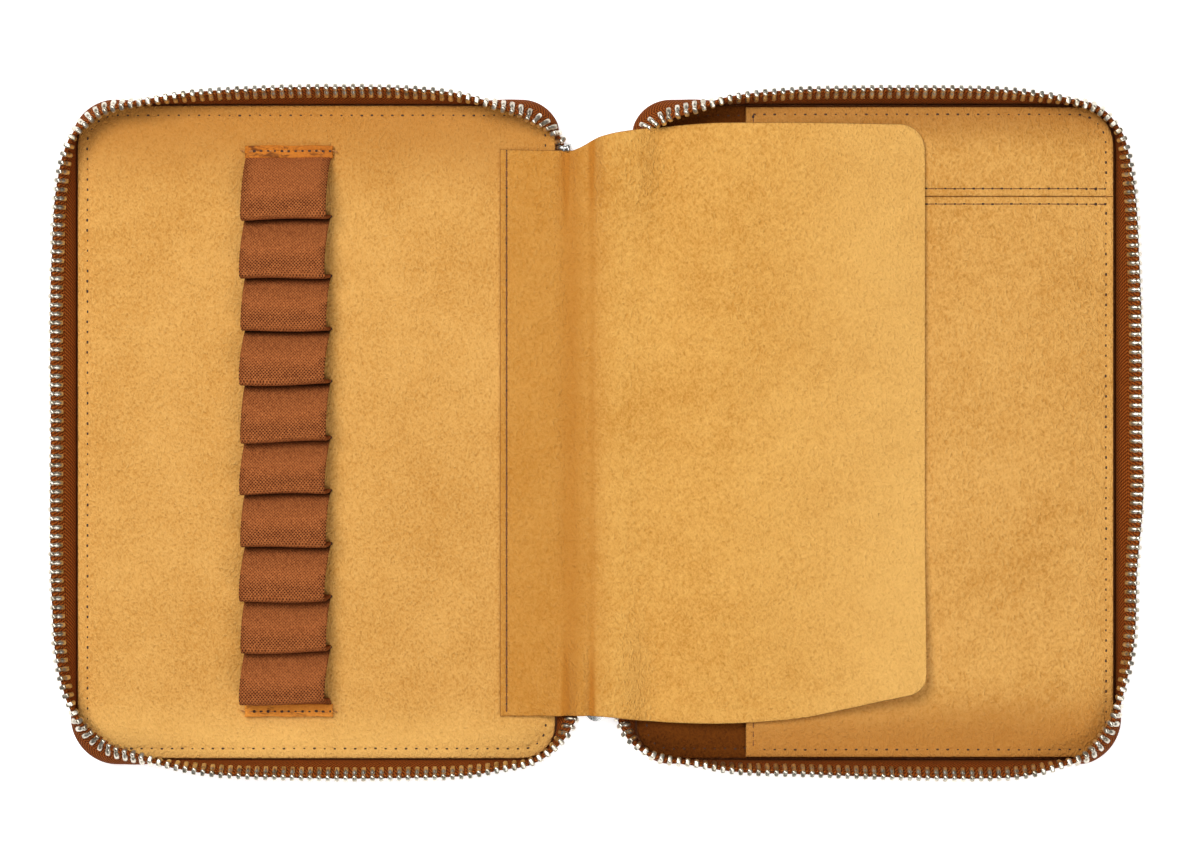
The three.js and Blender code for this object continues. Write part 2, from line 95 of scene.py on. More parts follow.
def smooth(x, low, high):
    t = np.clip((x - low) / (high - low), 0, 1)
    return t * t * (3 - 2 * t)


def bump(x, centre, width, power=2):
    return np.exp(-np.abs((x - centre) / width) ** power)


# ------------------------------------------------------------------ mesh building
def make_object(name, points, faces, material, weave=None):
    """A smooth mesh object from points in millimetres; weave is each point's place in the cloth."""
    mesh = bpy.data.meshes.new(name)
    mesh.from_pydata((np.asarray(points, float) * MM).tolist(), [], faces)
    mesh.update()
    mesh.materials.append(material)
    mesh.polygons.foreach_set("use_smooth", np.ones(len(mesh.polygons), bool))
    if weave is not None:
        layer = mesh.attributes.new("weave", "FLOAT_VECTOR", "POINT")
        layer.data.foreach_set("vector", np.asarray(weave, np.float32).ravel())
    obj = bpy.data.objects.new(name, mesh)
    bpy.context.scene.collection.objects.link(obj)
    return obj


def grid_faces(rows, columns, start=0, flip=False, wrap_rows=False, wrap_columns=False):
    """Quads over a rows x columns block of points that begins at index start."""
    faces = []
    for r in range(rows if wrap_rows else rows - 1):
        for c in range(columns if wrap_columns else columns - 1):
            a = start + r * columns + c
            b = start + r * columns + (c + 1) % columns
            d = start + ((r + 1) % rows) * columns + c
            e = start + ((r + 1) % rows) * columns + (c + 1) % columns
            faces.append((a, d, e, b) if flip else (a, b, e, d))
    return faces


def grid_normals(p):
    """Unit normals of a (rows, columns, 3) block of points."""
    du = np.gradient(p, axis=0)
    dv = np.gradient(p, axis=1)
    n = np.cross(du, dv)
    return n / np.maximum(np.linalg.norm(n, axis=2, keepdims=True), 1e-9)


def sheet_solid(middle, thickness, round_edge=0.3):
    """A sheet with rounded cut edges about a (rows, columns, 3) block of mid-surface points.

    Gives the points, the faces, and each point's row and column as shares, for the weave.
    """
    rows, columns, _ = middle.shape
    normals = grid_normals(middle)
    half = np.broadcast_to(np.asarray(thickness, float) / 2, (rows, columns))[..., None]
    inset = middle.copy()
    for axis in (0, 1):
        first = [slice(None)] * 3
        second = [slice(None)] * 3
        for edge, inner in ((0, 1), (-1, -2)):
            first[axis], second[axis] = edge, inner
            step = middle[tuple(second)] - middle[tuple(first)]
            size = np.maximum(np.linalg.norm(step, axis=1, keepdims=True), 1e-9)
            inset[tuple(first)] += step / size * np.minimum(round_edge, 0.45 * size)
    top = inset + normals * half
    low = inset - normals * half
    ring = (
        [(0, c) for c in range(columns)]
        + [(r, columns - 1) for r in range(1, rows)]
        + [(rows - 1, c) for c in range(columns - 2, -1, -1)]
        + [(r, 0) for r in range(rows - 2, 0, -1)]
    )
    ring_rows, ring_columns = np.array(ring).T
    rim = middle[ring_rows, ring_columns]
    rim_normal = normals[ring_rows, ring_columns]
    rim_half = half[ring_rows, ring_columns]
    soft = lerp(rim, inset[ring_rows, ring_columns], 0.3)
    upper = soft + rim_normal * rim_half * 0.7
    lower = soft - rim_normal * rim_half * 0.7
    count = rows * columns
    points = np.concatenate([top.reshape(-1, 3), low.reshape(-1, 3), upper, rim, lower])
    faces = grid_faces(rows, columns, 0, flip=True) + grid_faces(rows, columns, count)
    n = len(ring)
    top_ring = ring_rows * columns + ring_columns
    loops = [top_ring, 2 * count + np.arange(n), 2 * count + n + np.arange(n)]
    loops += [2 * count + 2 * n + np.arange(n), count + top_ring]
    for upper_loop, lower_loop in zip(loops, loops[1:]):
        for i in range(n):
            j = (i + 1) % n
            faces.append(
                (int(upper_loop[i]), int(lower_loop[i]), int(lower_loop[j]), int(upper_loop[j]))
            )
    shares_row, shares_column = np.meshgrid(
        np.linspace(0, 1, rows), np.linspace(0, 1, columns), indexing="ij"
    )
    block = np.stack([shares_row, shares_column], axis=2)
    ring_shares = block[ring_rows, ring_columns]
    shares = np.concatenate([block.reshape(-1, 2)] * 2 + [ring_shares] * 3)
    return points, faces, shares


def edge_marks(points, rim_points):
    """The weave attribute of a suede sheet: only its third number is used, and marks the cut edge."""
    marks = np.zeros((points, 3))
    marks[points - rim_points :, 2] = 1
    return marks


def face_out(obj):
    """Turns all faces outwards."""
    b = bmesh.new()
    b.from_mesh(obj.data)
    bmesh.ops.recalc_face_normals(b, faces=b.faces)
    b.to_mesh(obj.data)
    b.free()
    return obj


def rounded_rectangle(x0, x1, y0, y1, radii, inset=0.0, corner_steps=10, pitch=1.6):
    """Points round a rectangle with corner radii lower left, lower right, upper right, upper left."""
    corners = [(x0, y0), (x1, y0), (x1, y1), (x0, y1)]
    inward = [(1, 1), (-1, 1), (-1, -1), (1, -1)]
    starts = [math.pi, 1.5 * math.pi, 0, 0.5 * math.pi]
    ends = []
    for (cx, cy), (ix, iy), radius, start in zip(corners, inward, radii, starts):
        centre = np.array([cx + ix * radius, cy + iy * radius])
        turn = start + np.linspace(0, math.pi / 2, corner_steps)
        # Inside a corner that is sharper than the inset, the points slide along the diagonal.
        reach = radius - inset
        arc = np.stack([np.cos(turn), np.sin(turn)], axis=1) * max(reach, 0.02)
        if reach < 0:
            centre = centre + np.array([ix, iy]) * -reach
        ends.append(centre + arc)
    points = []
    for i, arc in enumerate(ends):
        points.append(arc)
        following = ends[(i + 1) % 4][0]
        full = np.linalg.norm(np.array(corners[(i + 1) % 4]) - np.array(corners[i]))
        steps = max(2, int(full / pitch))
        between = np.linspace(0, 1, steps + 1)[1:-1, None]
        points.append(lerp(arc[-1], following, between))
    return np.concatenate(points)


def ring_panel(name, outline, profile, bottom, material, shape=None):
    """A plate of the given outline(inset). profile lists (inset, height of the top) from the edge in.

    shape(x, y) adds to the height of the top surface.
    """
    lowest = outline(0.25)
    under = outline(1.2)
    rings = [np.column_stack([ring, np.full(len(ring), bottom)]) for ring in (under, lowest)]
    for inset, height in profile:
        ring = outline(inset)
        z = np.full(len(ring), float(height))
        if shape is not None:
            z = z + shape(ring[:, 0], ring[:, 1])
        rings.append(np.column_stack([ring, z]))
    count = len(lowest)
    points = np.concatenate(rings)
    faces = grid_faces(len(rings), count, wrap_columns=True)
    last = (len(rings) - 1) * count
    faces.append(tuple(range(last, last + count)))
    faces.append(tuple(range(count - 1, -1, -1)))
    marks = np.zeros((len(points), 3))
    marks[: 4 * count, 2] = 1
    return face_out(make_object(name, points, faces, material, marks))


def stamp(name, shape_points, shape_faces, frames, material, scales=None):
    """Copies of one small shape: each frame is (origin, x axis, y axis, z axis)."""
    shape_points = np.asarray(shape_points, float)
    points, faces = [], []
    for i, (origin, ax, ay, az) in enumerate(frames):
        local = shape_points if scales is None else shape_points * scales[i]
        start = i * len(shape_points)
        points.append(origin + local[:, :1] * ax + local[:, 1:2] * ay + local[:, 2:] * az)
        faces += [tuple(start + k for k in face) for face in shape_faces]
    return make_object(name, np.concatenate(points), faces, material)


def capsule(length, radius, flatten=1.0, sides=6):
    """A closed spindle along x with rounded ends."""
    profile = [(-0.46, 0.55), (-0.32, 0.95), (0, 1.0), (0.32, 0.95), (0.46, 0.55)]
    points = [(-0.5 * length, 0, 0)]
    for at, share in profile:
        for k in range(sides):
            turn = 2 * math.pi * k / sides
            y, z = radius * share * math.cos(turn), radius * share * math.sin(turn) * flatten
            points.append((at * length, y, z))
    points.append((0.5 * length, 0, 0))
    rings = len(profile)
    faces = grid_faces(rings, sides, 1, wrap_columns=True)
    end = len(points) - 1
    for k in range(sides):
        faces.append((0, 1 + (k + 1) % sides, 1 + k))
        base = 1 + (rings - 1) * sides
        faces.append((end, base + k, base + (k + 1) % sides))
    return points, faces


def beveled(obj, width, segments=2, angle=40):
    """Rounds the hard edges of a built mesh."""
    bevel = obj.modifiers.new("round", "BEVEL")
    bevel.width = width * MM
    bevel.segments = segments
    bevel.angle_limit = math.radians(angle)
    bevel.harden_normals = False
    depsgraph = bpy.context.evaluated_depsgraph_get()
    mesh = bpy.data.meshes.new_from_object(obj.evaluated_get(depsgraph))
    obj.modifiers.clear()
    obj.data = mesh
    mesh.polygons.foreach_set("use_smooth", np.ones(len(mesh.polygons), bool))
    return obj


# ------------------------------------------------------------------ materials
class Nodes:
    """Short calls for building one material's node tree."""

    def __init__(self, name):
        self.material = bpy.data.materials.new(name)
        self.material.use_nodes = True
        self.tree = self.material.node_tree
        self.tree.nodes.clear()
        self.output = self.tree.nodes.new("ShaderNodeOutputMaterial")
        self.shader = self.tree.nodes.new("ShaderNodeBsdfPrincipled")
        self.tree.links.new(self.shader.outputs["BSDF"], self.output.inputs["Surface"])

    def link(self, source, target):
        self.tree.links.new(source, target)

    def node(self, kind, **settings):
        made = self.tree.nodes.new(kind)
        for key, value in settings.items():
            setattr(made, key, value)
        return made

    def put(self, socket, value):
        if isinstance(value, bpy.types.NodeSocket):
            self.link(value, socket)
        else:
            socket.default_value = value

    def math(self, operation, a, b=0.0, c=0.0):
        made = self.node("ShaderNodeMath", operation=operation)
        for socket, value in zip(made.inputs, (a, b, c)):
            self.put(socket, value)
        return made.outputs[0]

    def place(self):
        """Position in the object's own frame, in millimetres."""
        source = self.node("ShaderNodeTexCoord").outputs["Object"]
        scale = self.node("ShaderNodeVectorMath", operation="SCALE")
        self.link(source, scale.inputs[0])
        scale.inputs["Scale"].default_value = 1 / MM
        return scale.outputs[0]

    def weave(self):
        return self.node("ShaderNodeAttribute", attribute_name="weave").outputs["Vector"]

    def stretched(self, vector, scale, turn=0.0):
        mapping = self.node("ShaderNodeMapping")
        self.link(vector, mapping.inputs["Vector"])
        mapping.inputs["Scale"].default_value = scale
        mapping.inputs["Rotation"].default_value = (0, 0, turn)
        return mapping.outputs[0]

    def split(self, vector):
        made = self.node("ShaderNodeSeparateXYZ")
        self.link(vector, made.inputs[0])
        return made.outputs

    def noise(self, vector, size, detail=2.0, roughness=0.5, distortion=0.0):
        """Noise whose lumps are about size millimetres across, from 0 to 1."""
        made = self.node("ShaderNodeTexNoise")
        self.link(vector, made.inputs["Vector"])
        made.inputs["Scale"].default_value = 1 / size
        made.inputs["Detail"].default_value = detail
        made.inputs["Roughness"].default_value = roughness
        made.inputs["Distortion"].default_value = distortion
        return made.outputs["Fac"]

    def cells(self, vector, size, feature="F1"):
        made = self.node("ShaderNodeTexVoronoi", feature=feature)
        self.link(vector, made.inputs["Vector"])
        made.inputs["Scale"].default_value = 1 / size
        return made.outputs["Distance"]

    def range(self, value, low, high, out_low=0.0, out_high=1.0):
        made = self.node("ShaderNodeMapRange", interpolation_type="SMOOTHSTEP")
        self.put(made.inputs["Value"], value)
        made.inputs["From Min"].default_value = low
        made.inputs["From Max"].default_value = high
        made.inputs["To Min"].default_value = out_low
        made.inputs["To Max"].default_value = out_high
        return made.outputs["Result"]

    def ramp(self, value, *stops):
        """Colours at places from 0 to 1: stops are (place, (r, g, b))."""
        made = self.node("ShaderNodeValToRGB")
        elements = made.color_ramp.elements
        while len(elements) < len(stops):
            elements.new(0.5)
        for element, (where, color) in zip(elements, stops):
            element.position = where
            element.color = (*color, 1)
        self.put(made.inputs["Fac"], value)
        return made.outputs["Color"]

    def mix(self, share, a, b, blend="MIX"):
        made = self.node("ShaderNodeMix", data_type="RGBA", blend_type=blend)
        self.put(made.inputs["Factor"], share)
        for socket, value in ((made.inputs["A"], a), (made.inputs["B"], b)):
            self.put(socket, value if isinstance(value, bpy.types.NodeSocket) else (*value, 1))
        return made.outputs["Result"]

    def bump(self, height, depth, strength=1.0, onto=None):
        """Relief: height from 0 to 1 stands for depth millimetres."""
        made = self.node("ShaderNodeBump")
        made.inputs["Strength"].default_value = strength
        made.inputs["Distance"].default_value = depth * MM
        self.link(height, made.inputs["Height"])
        if onto is not None:
            self.link(onto, made.inputs["Normal"])
        return made.outputs["Normal"]

    def finish(self, color, roughness, normal=None, metallic=0.0, sheen=None, cloth=False):
        """Sets the shader. sheen is (amount, tint), and cloth mirrors less than leather or metal."""
        self.link(color, self.shader.inputs["Base Color"])
        self.put(self.shader.inputs["Roughness"], roughness)
        self.shader.inputs["Metallic"].default_value = metallic
        if cloth:
            self.shader.inputs["Specular IOR Level"].default_value = 0.12
        if sheen:
            self.shader.inputs["Sheen Weight"].default_value = sheen[0]
            self.shader.inputs["Sheen Roughness"].default_value = 0.5
            self.shader.inputs["Sheen Tint"].default_value = (*sheen[1], 1)
        if normal is not None:
            self.link(normal, self.shader.inputs["Normal"])
        return self.material


def linear(r, g, b):
    """A colour given as 0 to 255 display values."""
    return tuple(((v / 255 + 0.055) / 1.055) ** 2.4 if v > 10 else v / 255 / 12.92 for v in (r, g, b))


def suede_material(name, light, dark, patches=None, sheen=0.1):
    """Napped leather: a fine, soft grain, brushed a little lighter and darker in wide patches."""
    n = Nodes(name)
    place = n.place()
    fibre = n.noise(n.stretched(place, (1.0, 0.75, 1.0), 0.7), 0.55, detail=1.5, roughness=0.55)
    brushed = n.stretched(place, (1.0, 0.8, 1.0), -0.5)
    tufts = n.noise(brushed, 1.1, detail=2, roughness=0.55, distortion=0.25)
    blotch = n.noise(place, 7.0, detail=3, roughness=0.6, distortion=0.4)
    wide = n.noise(place, 36.0, detail=2, roughness=0.5)
    tone = n.math("MULTIPLY_ADD", fibre, 0.29, n.math("MULTIPLY", tufts, 0.26))
    tone = n.math("MULTIPLY_ADD", blotch, 0.13, tone)
    tone = n.math("MULTIPLY_ADD", wide, 0.19, tone)
    tone = n.math("ADD", tone, 0.065)
    middle = tuple((a + b) / 2 for a, b in zip(light, dark))
    shadow = tuple(v * 0.86 for v in dark)
    color = n.ramp(tone, (0.28, shadow), (0.4, dark), (0.52, middle), (0.68, light))
    # The function passed in as patches paints light and shade onto the suede's colour.
    if patches is not None:
        color = patches(n, place, color)
    # The cut edges are painted darker than the nap, as shade where they meet what lies under them.
    edge = n.split(n.weave())[2]
    color = n.mix(n.math("MULTIPLY", edge, 0.75), color, linear(136, 78, 30))
    relief = n.math("MULTIPLY_ADD", fibre, 0.45, n.math("MULTIPLY", tufts, 0.55))
    down = (sheen, linear(250, 206, 140))
    return n.finish(color, 0.97, n.bump(relief, 1.25, 1.0), sheen=down, cloth=True)


def lining_painted_light_and_shade(n, place, color):
    """Painted shade darkens the pen side's lining towards its upper edge, and painted light makes it paler at
    its lower one.
    """
    _, y, _ = n.split(place)
    along = n.math("MULTIPLY_ADD", n.noise(place, 22.0), 5.0, y)
    color = n.mix(n.range(along, 66.0, 98.0, 0.0, 0.7), color, linear(186, 120, 48))
    return n.mix(n.range(along, -74.0, -94.0, 0.0, 0.45), color, linear(250, 198, 112))


def pocket_painted_shade(n, place, color):
    """Painted shade darkens the pocket along its two short sides, where it is pulled down to its seams."""
    _, y, _ = n.split(place)
    along = n.math("MULTIPLY_ADD", n.noise(place, 18.0), 5.0, y)
    color = n.mix(n.range(along, 84.0, 99.0, 0.0, 0.7), color, linear(170, 108, 44))
    return n.mix(n.range(along, -70.0, -90.0, 0.0, 0.75), color, linear(182, 116, 46))


def flap_painted_light_and_shade(n, place, color):
    """Painted light and shade on the flap: painted shade beside its seam and in its folds, and painted light
    towards its free edge.
    """
    x, y, _ = n.split(place)
    wander = n.math("MULTIPLY", n.noise(place, 26.0), 6.0)
    across = n.math("ADD", x, wander)
    # Painted light: paler towards the free edge
    paler = n.range(across, 40.0, 104.0, 0.0, 0.4)
    color = n.mix(paler, color, linear(247, 197, 116))
    # Painted shade beside the seam, in the gutter's valley and in the dents of the folds
    beside = n.range(across, -3.0, 12.0, 1.0, 0.0)
    near_end = n.range(n.math("ABSOLUTE", y), 55.0, 86.0, 0.25, 1.0)
    wear_and_shade = n.range(n.math("ABSOLUTE", n.math("ADD", x, 7.5)), 0.0, 5.5, 0.24, 0.0)
    dent_shade = n.range(n.math("ABSOLUTE", n.math("ADD", x, 9.0)), 0.0, 2.2, 0.85, 0.0)
    dent_shade = n.math("MAXIMUM", dent_shade, n.range(n.math("ABSOLUTE", n.math("ADD", x, 1.2)), 0.0, 1.8, 0.85, 0.0))
    share = n.math("MULTIPLY_ADD", beside, 0.5, n.math("MAXIMUM", wear_and_shade, n.math("MULTIPLY", dent_shade, near_end)))
    return n.mix(share, color, linear(190, 122, 44))


def grain_leather_material(name, light, dark, patch, patch_share, roughness=0.5, spread=0.0, cloth=False):
    n = Nodes(name)
    place = n.place()
    pores = n.cells(place, 0.55)
    grain = n.noise(place, 0.7, detail=4, roughness=0.65)
    marks = n.noise(n.stretched(place, (0.5, 1.4, 1.0)), 2.6, detail=4, roughness=0.65, distortion=1.2)
    wide = n.noise(place, 22.0, detail=3)
    tone = n.math("MULTIPLY_ADD", grain, 0.45, n.math("MULTIPLY", wide, 0.55))
    color = n.ramp(tone, (0.35, dark), (0.65, light))
    color = n.mix(n.range(marks, 0.56 - spread, 0.72 - spread, 0, patch_share), color, patch)
    relief = n.bump(pores, 0.12, 0.5)
    relief = n.bump(grain, 0.1, 0.5, onto=relief)
    gloss = n.range(grain, 0.3, 0.7, roughness - 0.08, roughness + 0.14)
    return n.finish(color, gloss, relief, cloth=cloth)


RIB_PITCH = 0.64
HOLE_PITCH = 0.98
HOLE_ROW = 0.5


def elastic_material():
    """Ribbed woven elastic: fine ribs along the band, and rows of small holes, open at its edges."""
    n = Nodes("elastic_weave")
    weave = n.weave()
    x, y, marks = n.split(weave)
    edge = n.math("MAXIMUM", marks, 0.0)
    root = n.math("MAXIMUM", n.math("MULTIPLY", marks, -1.0), 0.0)
    rib = n.math("SINE", n.math("MULTIPLY", x, 2 * math.pi / RIB_PITCH))
    row = n.math("DIVIDE", y, HOLE_ROW)
    odd = n.math("MODULO", n.math("FLOOR", row), 2)
    column = n.math("MULTIPLY_ADD", odd, 0.5, n.math("DIVIDE", x, HOLE_PITCH))
    dx = n.math("SUBTRACT", n.math("FRACT", column), 0.5)
    dy = n.math("MULTIPLY", n.math("SUBTRACT", n.math("FRACT", row), 0.5), 0.6)
    away = n.math("SQRT", n.math("ADD", n.math("MULTIPLY", dx, dx), n.math("MULTIPLY", dy, dy)))
    fleck = n.noise(weave, 1.1, detail=2, roughness=0.7)
    size = n.math("MULTIPLY_ADD", edge, 0.1, n.math("MULTIPLY_ADD", fleck, 0.14, 0.09))
    hole = n.math("SUBTRACT", 1, n.range(n.math("SUBTRACT", away, size), -0.07, 0.1))
    deep = n.math("MULTIPLY", hole, n.math("MULTIPLY_ADD", edge, 0.25, 0.7))
    yarn = n.noise(n.stretched(weave, (1, 0.35, 1)), 0.35, detail=2, roughness=0.7)
    base = n.ramp(yarn, (0.3, linear(138, 71, 32)), (0.7, linear(196, 116, 62)))
    color = n.mix(deep, base, linear(60, 20, 4))
    color = n.mix(root, color, linear(26, 7, 1))
    height = n.math("MULTIPLY_ADD", rib, 0.16, n.math("MULTIPLY", yarn, 0.35))
    height = n.math("SUBTRACT", height, n.math("MULTIPLY", hole, 0.8))
    fuzz = (0.06, linear(210, 140, 80))
    return n.finish(color, 0.88, n.bump(height, 0.3, 0.8), sheen=fuzz, cloth=True)


HERRINGBONE = 8.0
TAPE_YARN = 1.05
TAPE_STITCH = 0.62


def tape_material():
    """Herringbone zip tape: slanting ribs that turn back in broad columns along the tape."""
    n = Nodes("zip_tape_weave")
    weave = n.weave()
    x, y, _ = n.split(weave)
    zig = n.math("ABSOLUTE", n.math("SUBTRACT", n.math("FRACT", n.math("DIVIDE", y, HERRINGBONE)), 0.5))
    slant = n.math("MULTIPLY_ADD", zig, 7.0, x)
    yarn, stitch = (
        n.math("MULTIPLY_ADD", n.math("SINE", n.math("MULTIPLY", along, 2 * math.pi / pitch)), 0.5, 0.5)
        for along, pitch in ((slant, TAPE_YARN), (y, TAPE_STITCH))
    )
    fibre = n.noise(weave, 0.5, detail=2, roughness=0.7)
    height = n.math("MULTIPLY_ADD", yarn, 0.62, n.math("MULTIPLY", stitch, 0.3))
    tone = n.math("MULTIPLY_ADD", fibre, 0.35, n.math("MULTIPLY", height, 0.65))
    color = n.ramp(tone, (0.2, linear(80, 31, 3)), (0.5, linear(132, 62, 12)), (0.9, linear(190, 104, 38)))
    fuzz = (0.05, linear(200, 130, 70))
    return n.finish(color, 0.85, n.bump(height, 0.4, 1.0), sheen=fuzz, cloth=True)


def metal_material(name, color, dark, roughness, spots=2.5):
    n = Nodes(name)
    place = n.place()
    wear_and_shade = n.noise(place, spots, detail=3, roughness=0.6)
    fine = n.noise(place, 0.25, detail=3)
    tint = n.mix(n.range(wear_and_shade, 0.35, 0.75), color, dark)
    gloss = n.range(fine, 0.3, 0.7, roughness - 0.06, roughness + 0.1)
    return n.finish(tint, gloss, n.bump(fine, 0.02, 0.3), metallic=1.0)


def thread_material(name, light, dark):
    """Twisted sewing thread: a fine slanting ply over a fibre fleck."""
    n = Nodes(name)
    place = n.place()
    wave = n.node("ShaderNodeTexWave", bands_direction="DIAGONAL")
    n.link(place, wave.inputs["Vector"])
    wave.inputs["Scale"].default_value = 0.9
    wave.inputs["Distortion"].default_value = 1.5
    fibre = n.noise(place, 0.3, detail=2)
    tone = n.math("MULTIPLY_ADD", wave.outputs["Fac"], 0.4, n.math("MULTIPLY", fibre, 0.6))
    return n.finish(n.ramp(tone, (0.2, dark), (0.8, light)), 0.7, n.bump(tone, 0.08, 0.6))


def board_material():
    n = Nodes("millboard")
    place = n.place()
    fibre = n.noise(n.stretched(place, (0.4, 1, 1)), 0.8, detail=4, roughness=0.7)
    wide = n.noise(place, 14.0, detail=2)
    tone = n.math("MULTIPLY_ADD", fibre, 0.6, n.math("MULTIPLY", wide, 0.4))
    color = n.ramp(tone, (0.3, linear(120, 104, 84)), (0.7, linear(160, 142, 116)))
    return n.finish(color, 0.9, n.bump(fibre, 0.08, 0.4))


def floor_material():
    n = Nodes("studio_floor")
    paper = n.ramp(n.noise(n.place(), 60.0), (0, (0.9, 0.9, 0.9)), (1, (0.92, 0.92, 0.92)))
    n.shader.inputs["Emission Color"].default_value = (1, 1, 1, 1)
    n.shader.inputs["Emission Strength"].default_value = 0.55
    return n.finish(paper, 0.6)


SUEDE = suede_material("suede", linear(244, 188, 106), linear(204, 142, 64), lining_painted_light_and_shade)
SUEDE_POCKET = suede_material("suede_pocket", linear(244, 188, 106), linear(204, 142, 64), pocket_painted_shade)
# Darker suede for the pocket side's lining; its colour also holds painted shade from the flap and the zip
# walls above it.
SUEDE_DARK_AND_SHADED = suede_material("suede_dark_and_shaded", linear(118, 62, 12), linear(84, 38, 4), sheen=0.02)
SUEDE_FLAP = suede_material("suede_flap", linear(243, 187, 101), linear(204, 141, 59), flap_painted_light_and_shade)
COVER_LEATHER = grain_leather_material(
    "cover_leather", linear(168, 98, 46), linear(128, 66, 26), linear(92, 44, 16), 0.5
)
TAB_LEATHER = grain_leather_material(
    "tab_leather", linear(206, 122, 36), linear(160, 84, 20), linear(84, 38, 10), 0.8,
    roughness=0.6, spread=0.08, cloth=True,
)
# A paler copy of the tab leather: painted light for the bottom tab, which lies in the shade of the last loop.
TAB_LEATHER_PAINTED_LIGHT = grain_leather_material(
    "tab_leather_painted_light", linear(246, 166, 66), linear(212, 124, 40), linear(104, 50, 16), 0.6,
    roughness=0.6, cloth=True,
)
ELASTIC = elastic_material()
TAPE = tape_material()
TEETH = metal_material("teeth_metal", linear(236, 228, 212), linear(160, 146, 122), 0.32)
NICKEL = metal_material("nickel", linear(205, 205, 202), linear(150, 150, 148), 0.22, spots=4)
THREAD = thread_material("tan_thread", linear(206, 144, 76), linear(150, 92, 40))
SEAM_THREAD = thread_material("brown_thread", linear(138, 82, 34), linear(88, 46, 14))
# Dark capsules of painted shade in the needle holes
NEEDLE_HOLE_SHADOW = thread_material("hole_shadow", linear(80, 42, 14), linear(46, 22, 8))
BOARD = board_material()


# ------------------------------------------------------------------ sewing
EDGE_STITCH = 3.05
POCKET_STITCH = 2.8
FLAP_STITCH = 2.75
LOOP_STITCH = 2.6
TAB_STITCH = 2.1


def level_at(z):
    """The height function of a flat surface."""
    return lambda x, y: z


def line_frames(points, pitch, height):
    """Frames spaced by pitch along a polyline of (x, y) points, lying on height(x, y)."""
    points = np.asarray(points, float)
    lengths = np.concatenate([[0], np.cumsum(np.linalg.norm(np.diff(points, axis=0), axis=1))])
    count = max(1, int(round(lengths[-1] / pitch)))
    step = lengths[-1] / count
    frames = []
    for i in range(count):
        at = (i + 0.5) * step
        x = np.interp(at, lengths, points[:, 0])
        y = np.interp(at, lengths, points[:, 1])
        ahead = min(at + 0.2, lengths[-1])
        behind = max(at - 0.2, 0)
        ax = np.array([
            np.interp(ahead, lengths, points[:, 0]) - np.interp(behind, lengths, points[:, 0]),
            np.interp(ahead, lengths, points[:, 1]) - np.interp(behind, lengths, points[:, 1]),
            0.0,
        ])
        ax /= np.linalg.norm(ax)
        ay = np.array([-ax[1], ax[0], 0.0])
        frames.append((np.array([x, y, float(height(x, y))]), ax, ay, np.array([0, 0, 1.0])))
    return frames, step


def sew(name, points, pitch, height, body, shown=0.16, hole=0.42, thread=0.26, light=False):
    """A row of stitches: sunk thread spans, with a needle hole between each two, drawn as a dark capsule of
    painted shade.
    """
    frames, step = line_frames(points, pitch, height)
    span, span_faces = capsule(step * 0.84, thread, 0.8)
    sizes = [(1, RNG.uniform(0.85, 1.1), 1) for _ in frames]
    sunk = [(o - np.array([0, 0, thread * 0.8 - shown]), x, y, z) for o, x, y, z in frames]
    threads = stamp(name, span, span_faces, sunk, THREAD if light else SEAM_THREAD, sizes)
    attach(threads, body)
    dot, dot_faces = capsule(hole * 2.1, hole, 0.45)
    between = [
        (o + x * step / 2 + y * RNG.uniform(-0.08, 0.08) - np.array([0, 0, 0.02]), x, y, z)
        for o, x, y, z in frames
    ]
    sizes = [tuple(np.full(3, RNG.uniform(0.7, 1.15))) for _ in between]
    holes = stamp(name + "_holes", dot, dot_faces, between, NEEDLE_HOLE_SHADOW, sizes)
    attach(holes, body)
    return threads, holes


# ------------------------------------------------------------------ the two padded halves
BODY_OF_SIDE = {-1: "pen_side", 1: "pocket_side"}
NAME_OF_SIDE = {-1: "left", 1: "right"}
EDGE_SEAM = 3.0
SEAM_HALF_WIDTH = 0.9
SEAM_DEPTH = 0.22


def half_outline(side, margin=0.0, into_gutter=0.0):
    """outline(inset) of one half; margin grows its three outer sides, into_gutter the fourth."""
    big = OUTER_CORNER_R + margin
    small = GUTTER_CORNER_R + margin
    x0, x1 = INNER_X - into_gutter, OUTER_X + margin
    radii = [small, big, big, small]
    if side < 0:
        x0, x1 = -x1, -x0
        radii = [big, small, small, big]
    y = HALF_Y + margin
    return partial(rounded_rectangle, x0, x1, -y, y, radii)


def seam_profile(top, thickness, seam=EDGE_SEAM):
    """Heights from the edge in: a rolled edge, then a shallow groove along the seam."""
    edge = [(0.0, top - 0.62 * thickness), (0.06, top - 0.35 * thickness), (0.25, top - 0.14 * thickness)]
    edge += [(0.6, top - 0.03 * thickness), (1.2, top)]
    groove = [
        (seam + share * SEAM_HALF_WIDTH, top - SEAM_DEPTH * (1 - abs(share)) ** 1.5)
        for share in (-1, -0.6, -0.25, 0, 0.25, 0.6, 1)
    ]
    return edge + groove + [(seam + 3, top), (seam + 8, top), (seam + 20, top), (seam + 40, top)]


def build_half(side):
    name, body = NAME_OF_SIDE[side], BODY_OF_SIDE[side]
    lining = ring_panel(
        "suede_lining_" + name,
        half_outline(side),
        seam_profile(LINING_TOP, LINING_TOP - LINING_BOTTOM),
        LINING_BOTTOM,
        SUEDE if side < 0 else SUEDE_DARK_AND_SHADED,
    )
    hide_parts("lining_" + name)
    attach(lining, body)
    seam = half_outline(side)(EDGE_SEAM)
    closed = np.concatenate([seam, seam[:1]])
    level = level_at(LINING_TOP - SEAM_DEPTH)
    sew("lining_seam_" + name, closed, EDGE_STITCH, level, body, shown=0.02, hole=0.4, light=True)
    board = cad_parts["board_" + name]
    dress(board, BOARD)


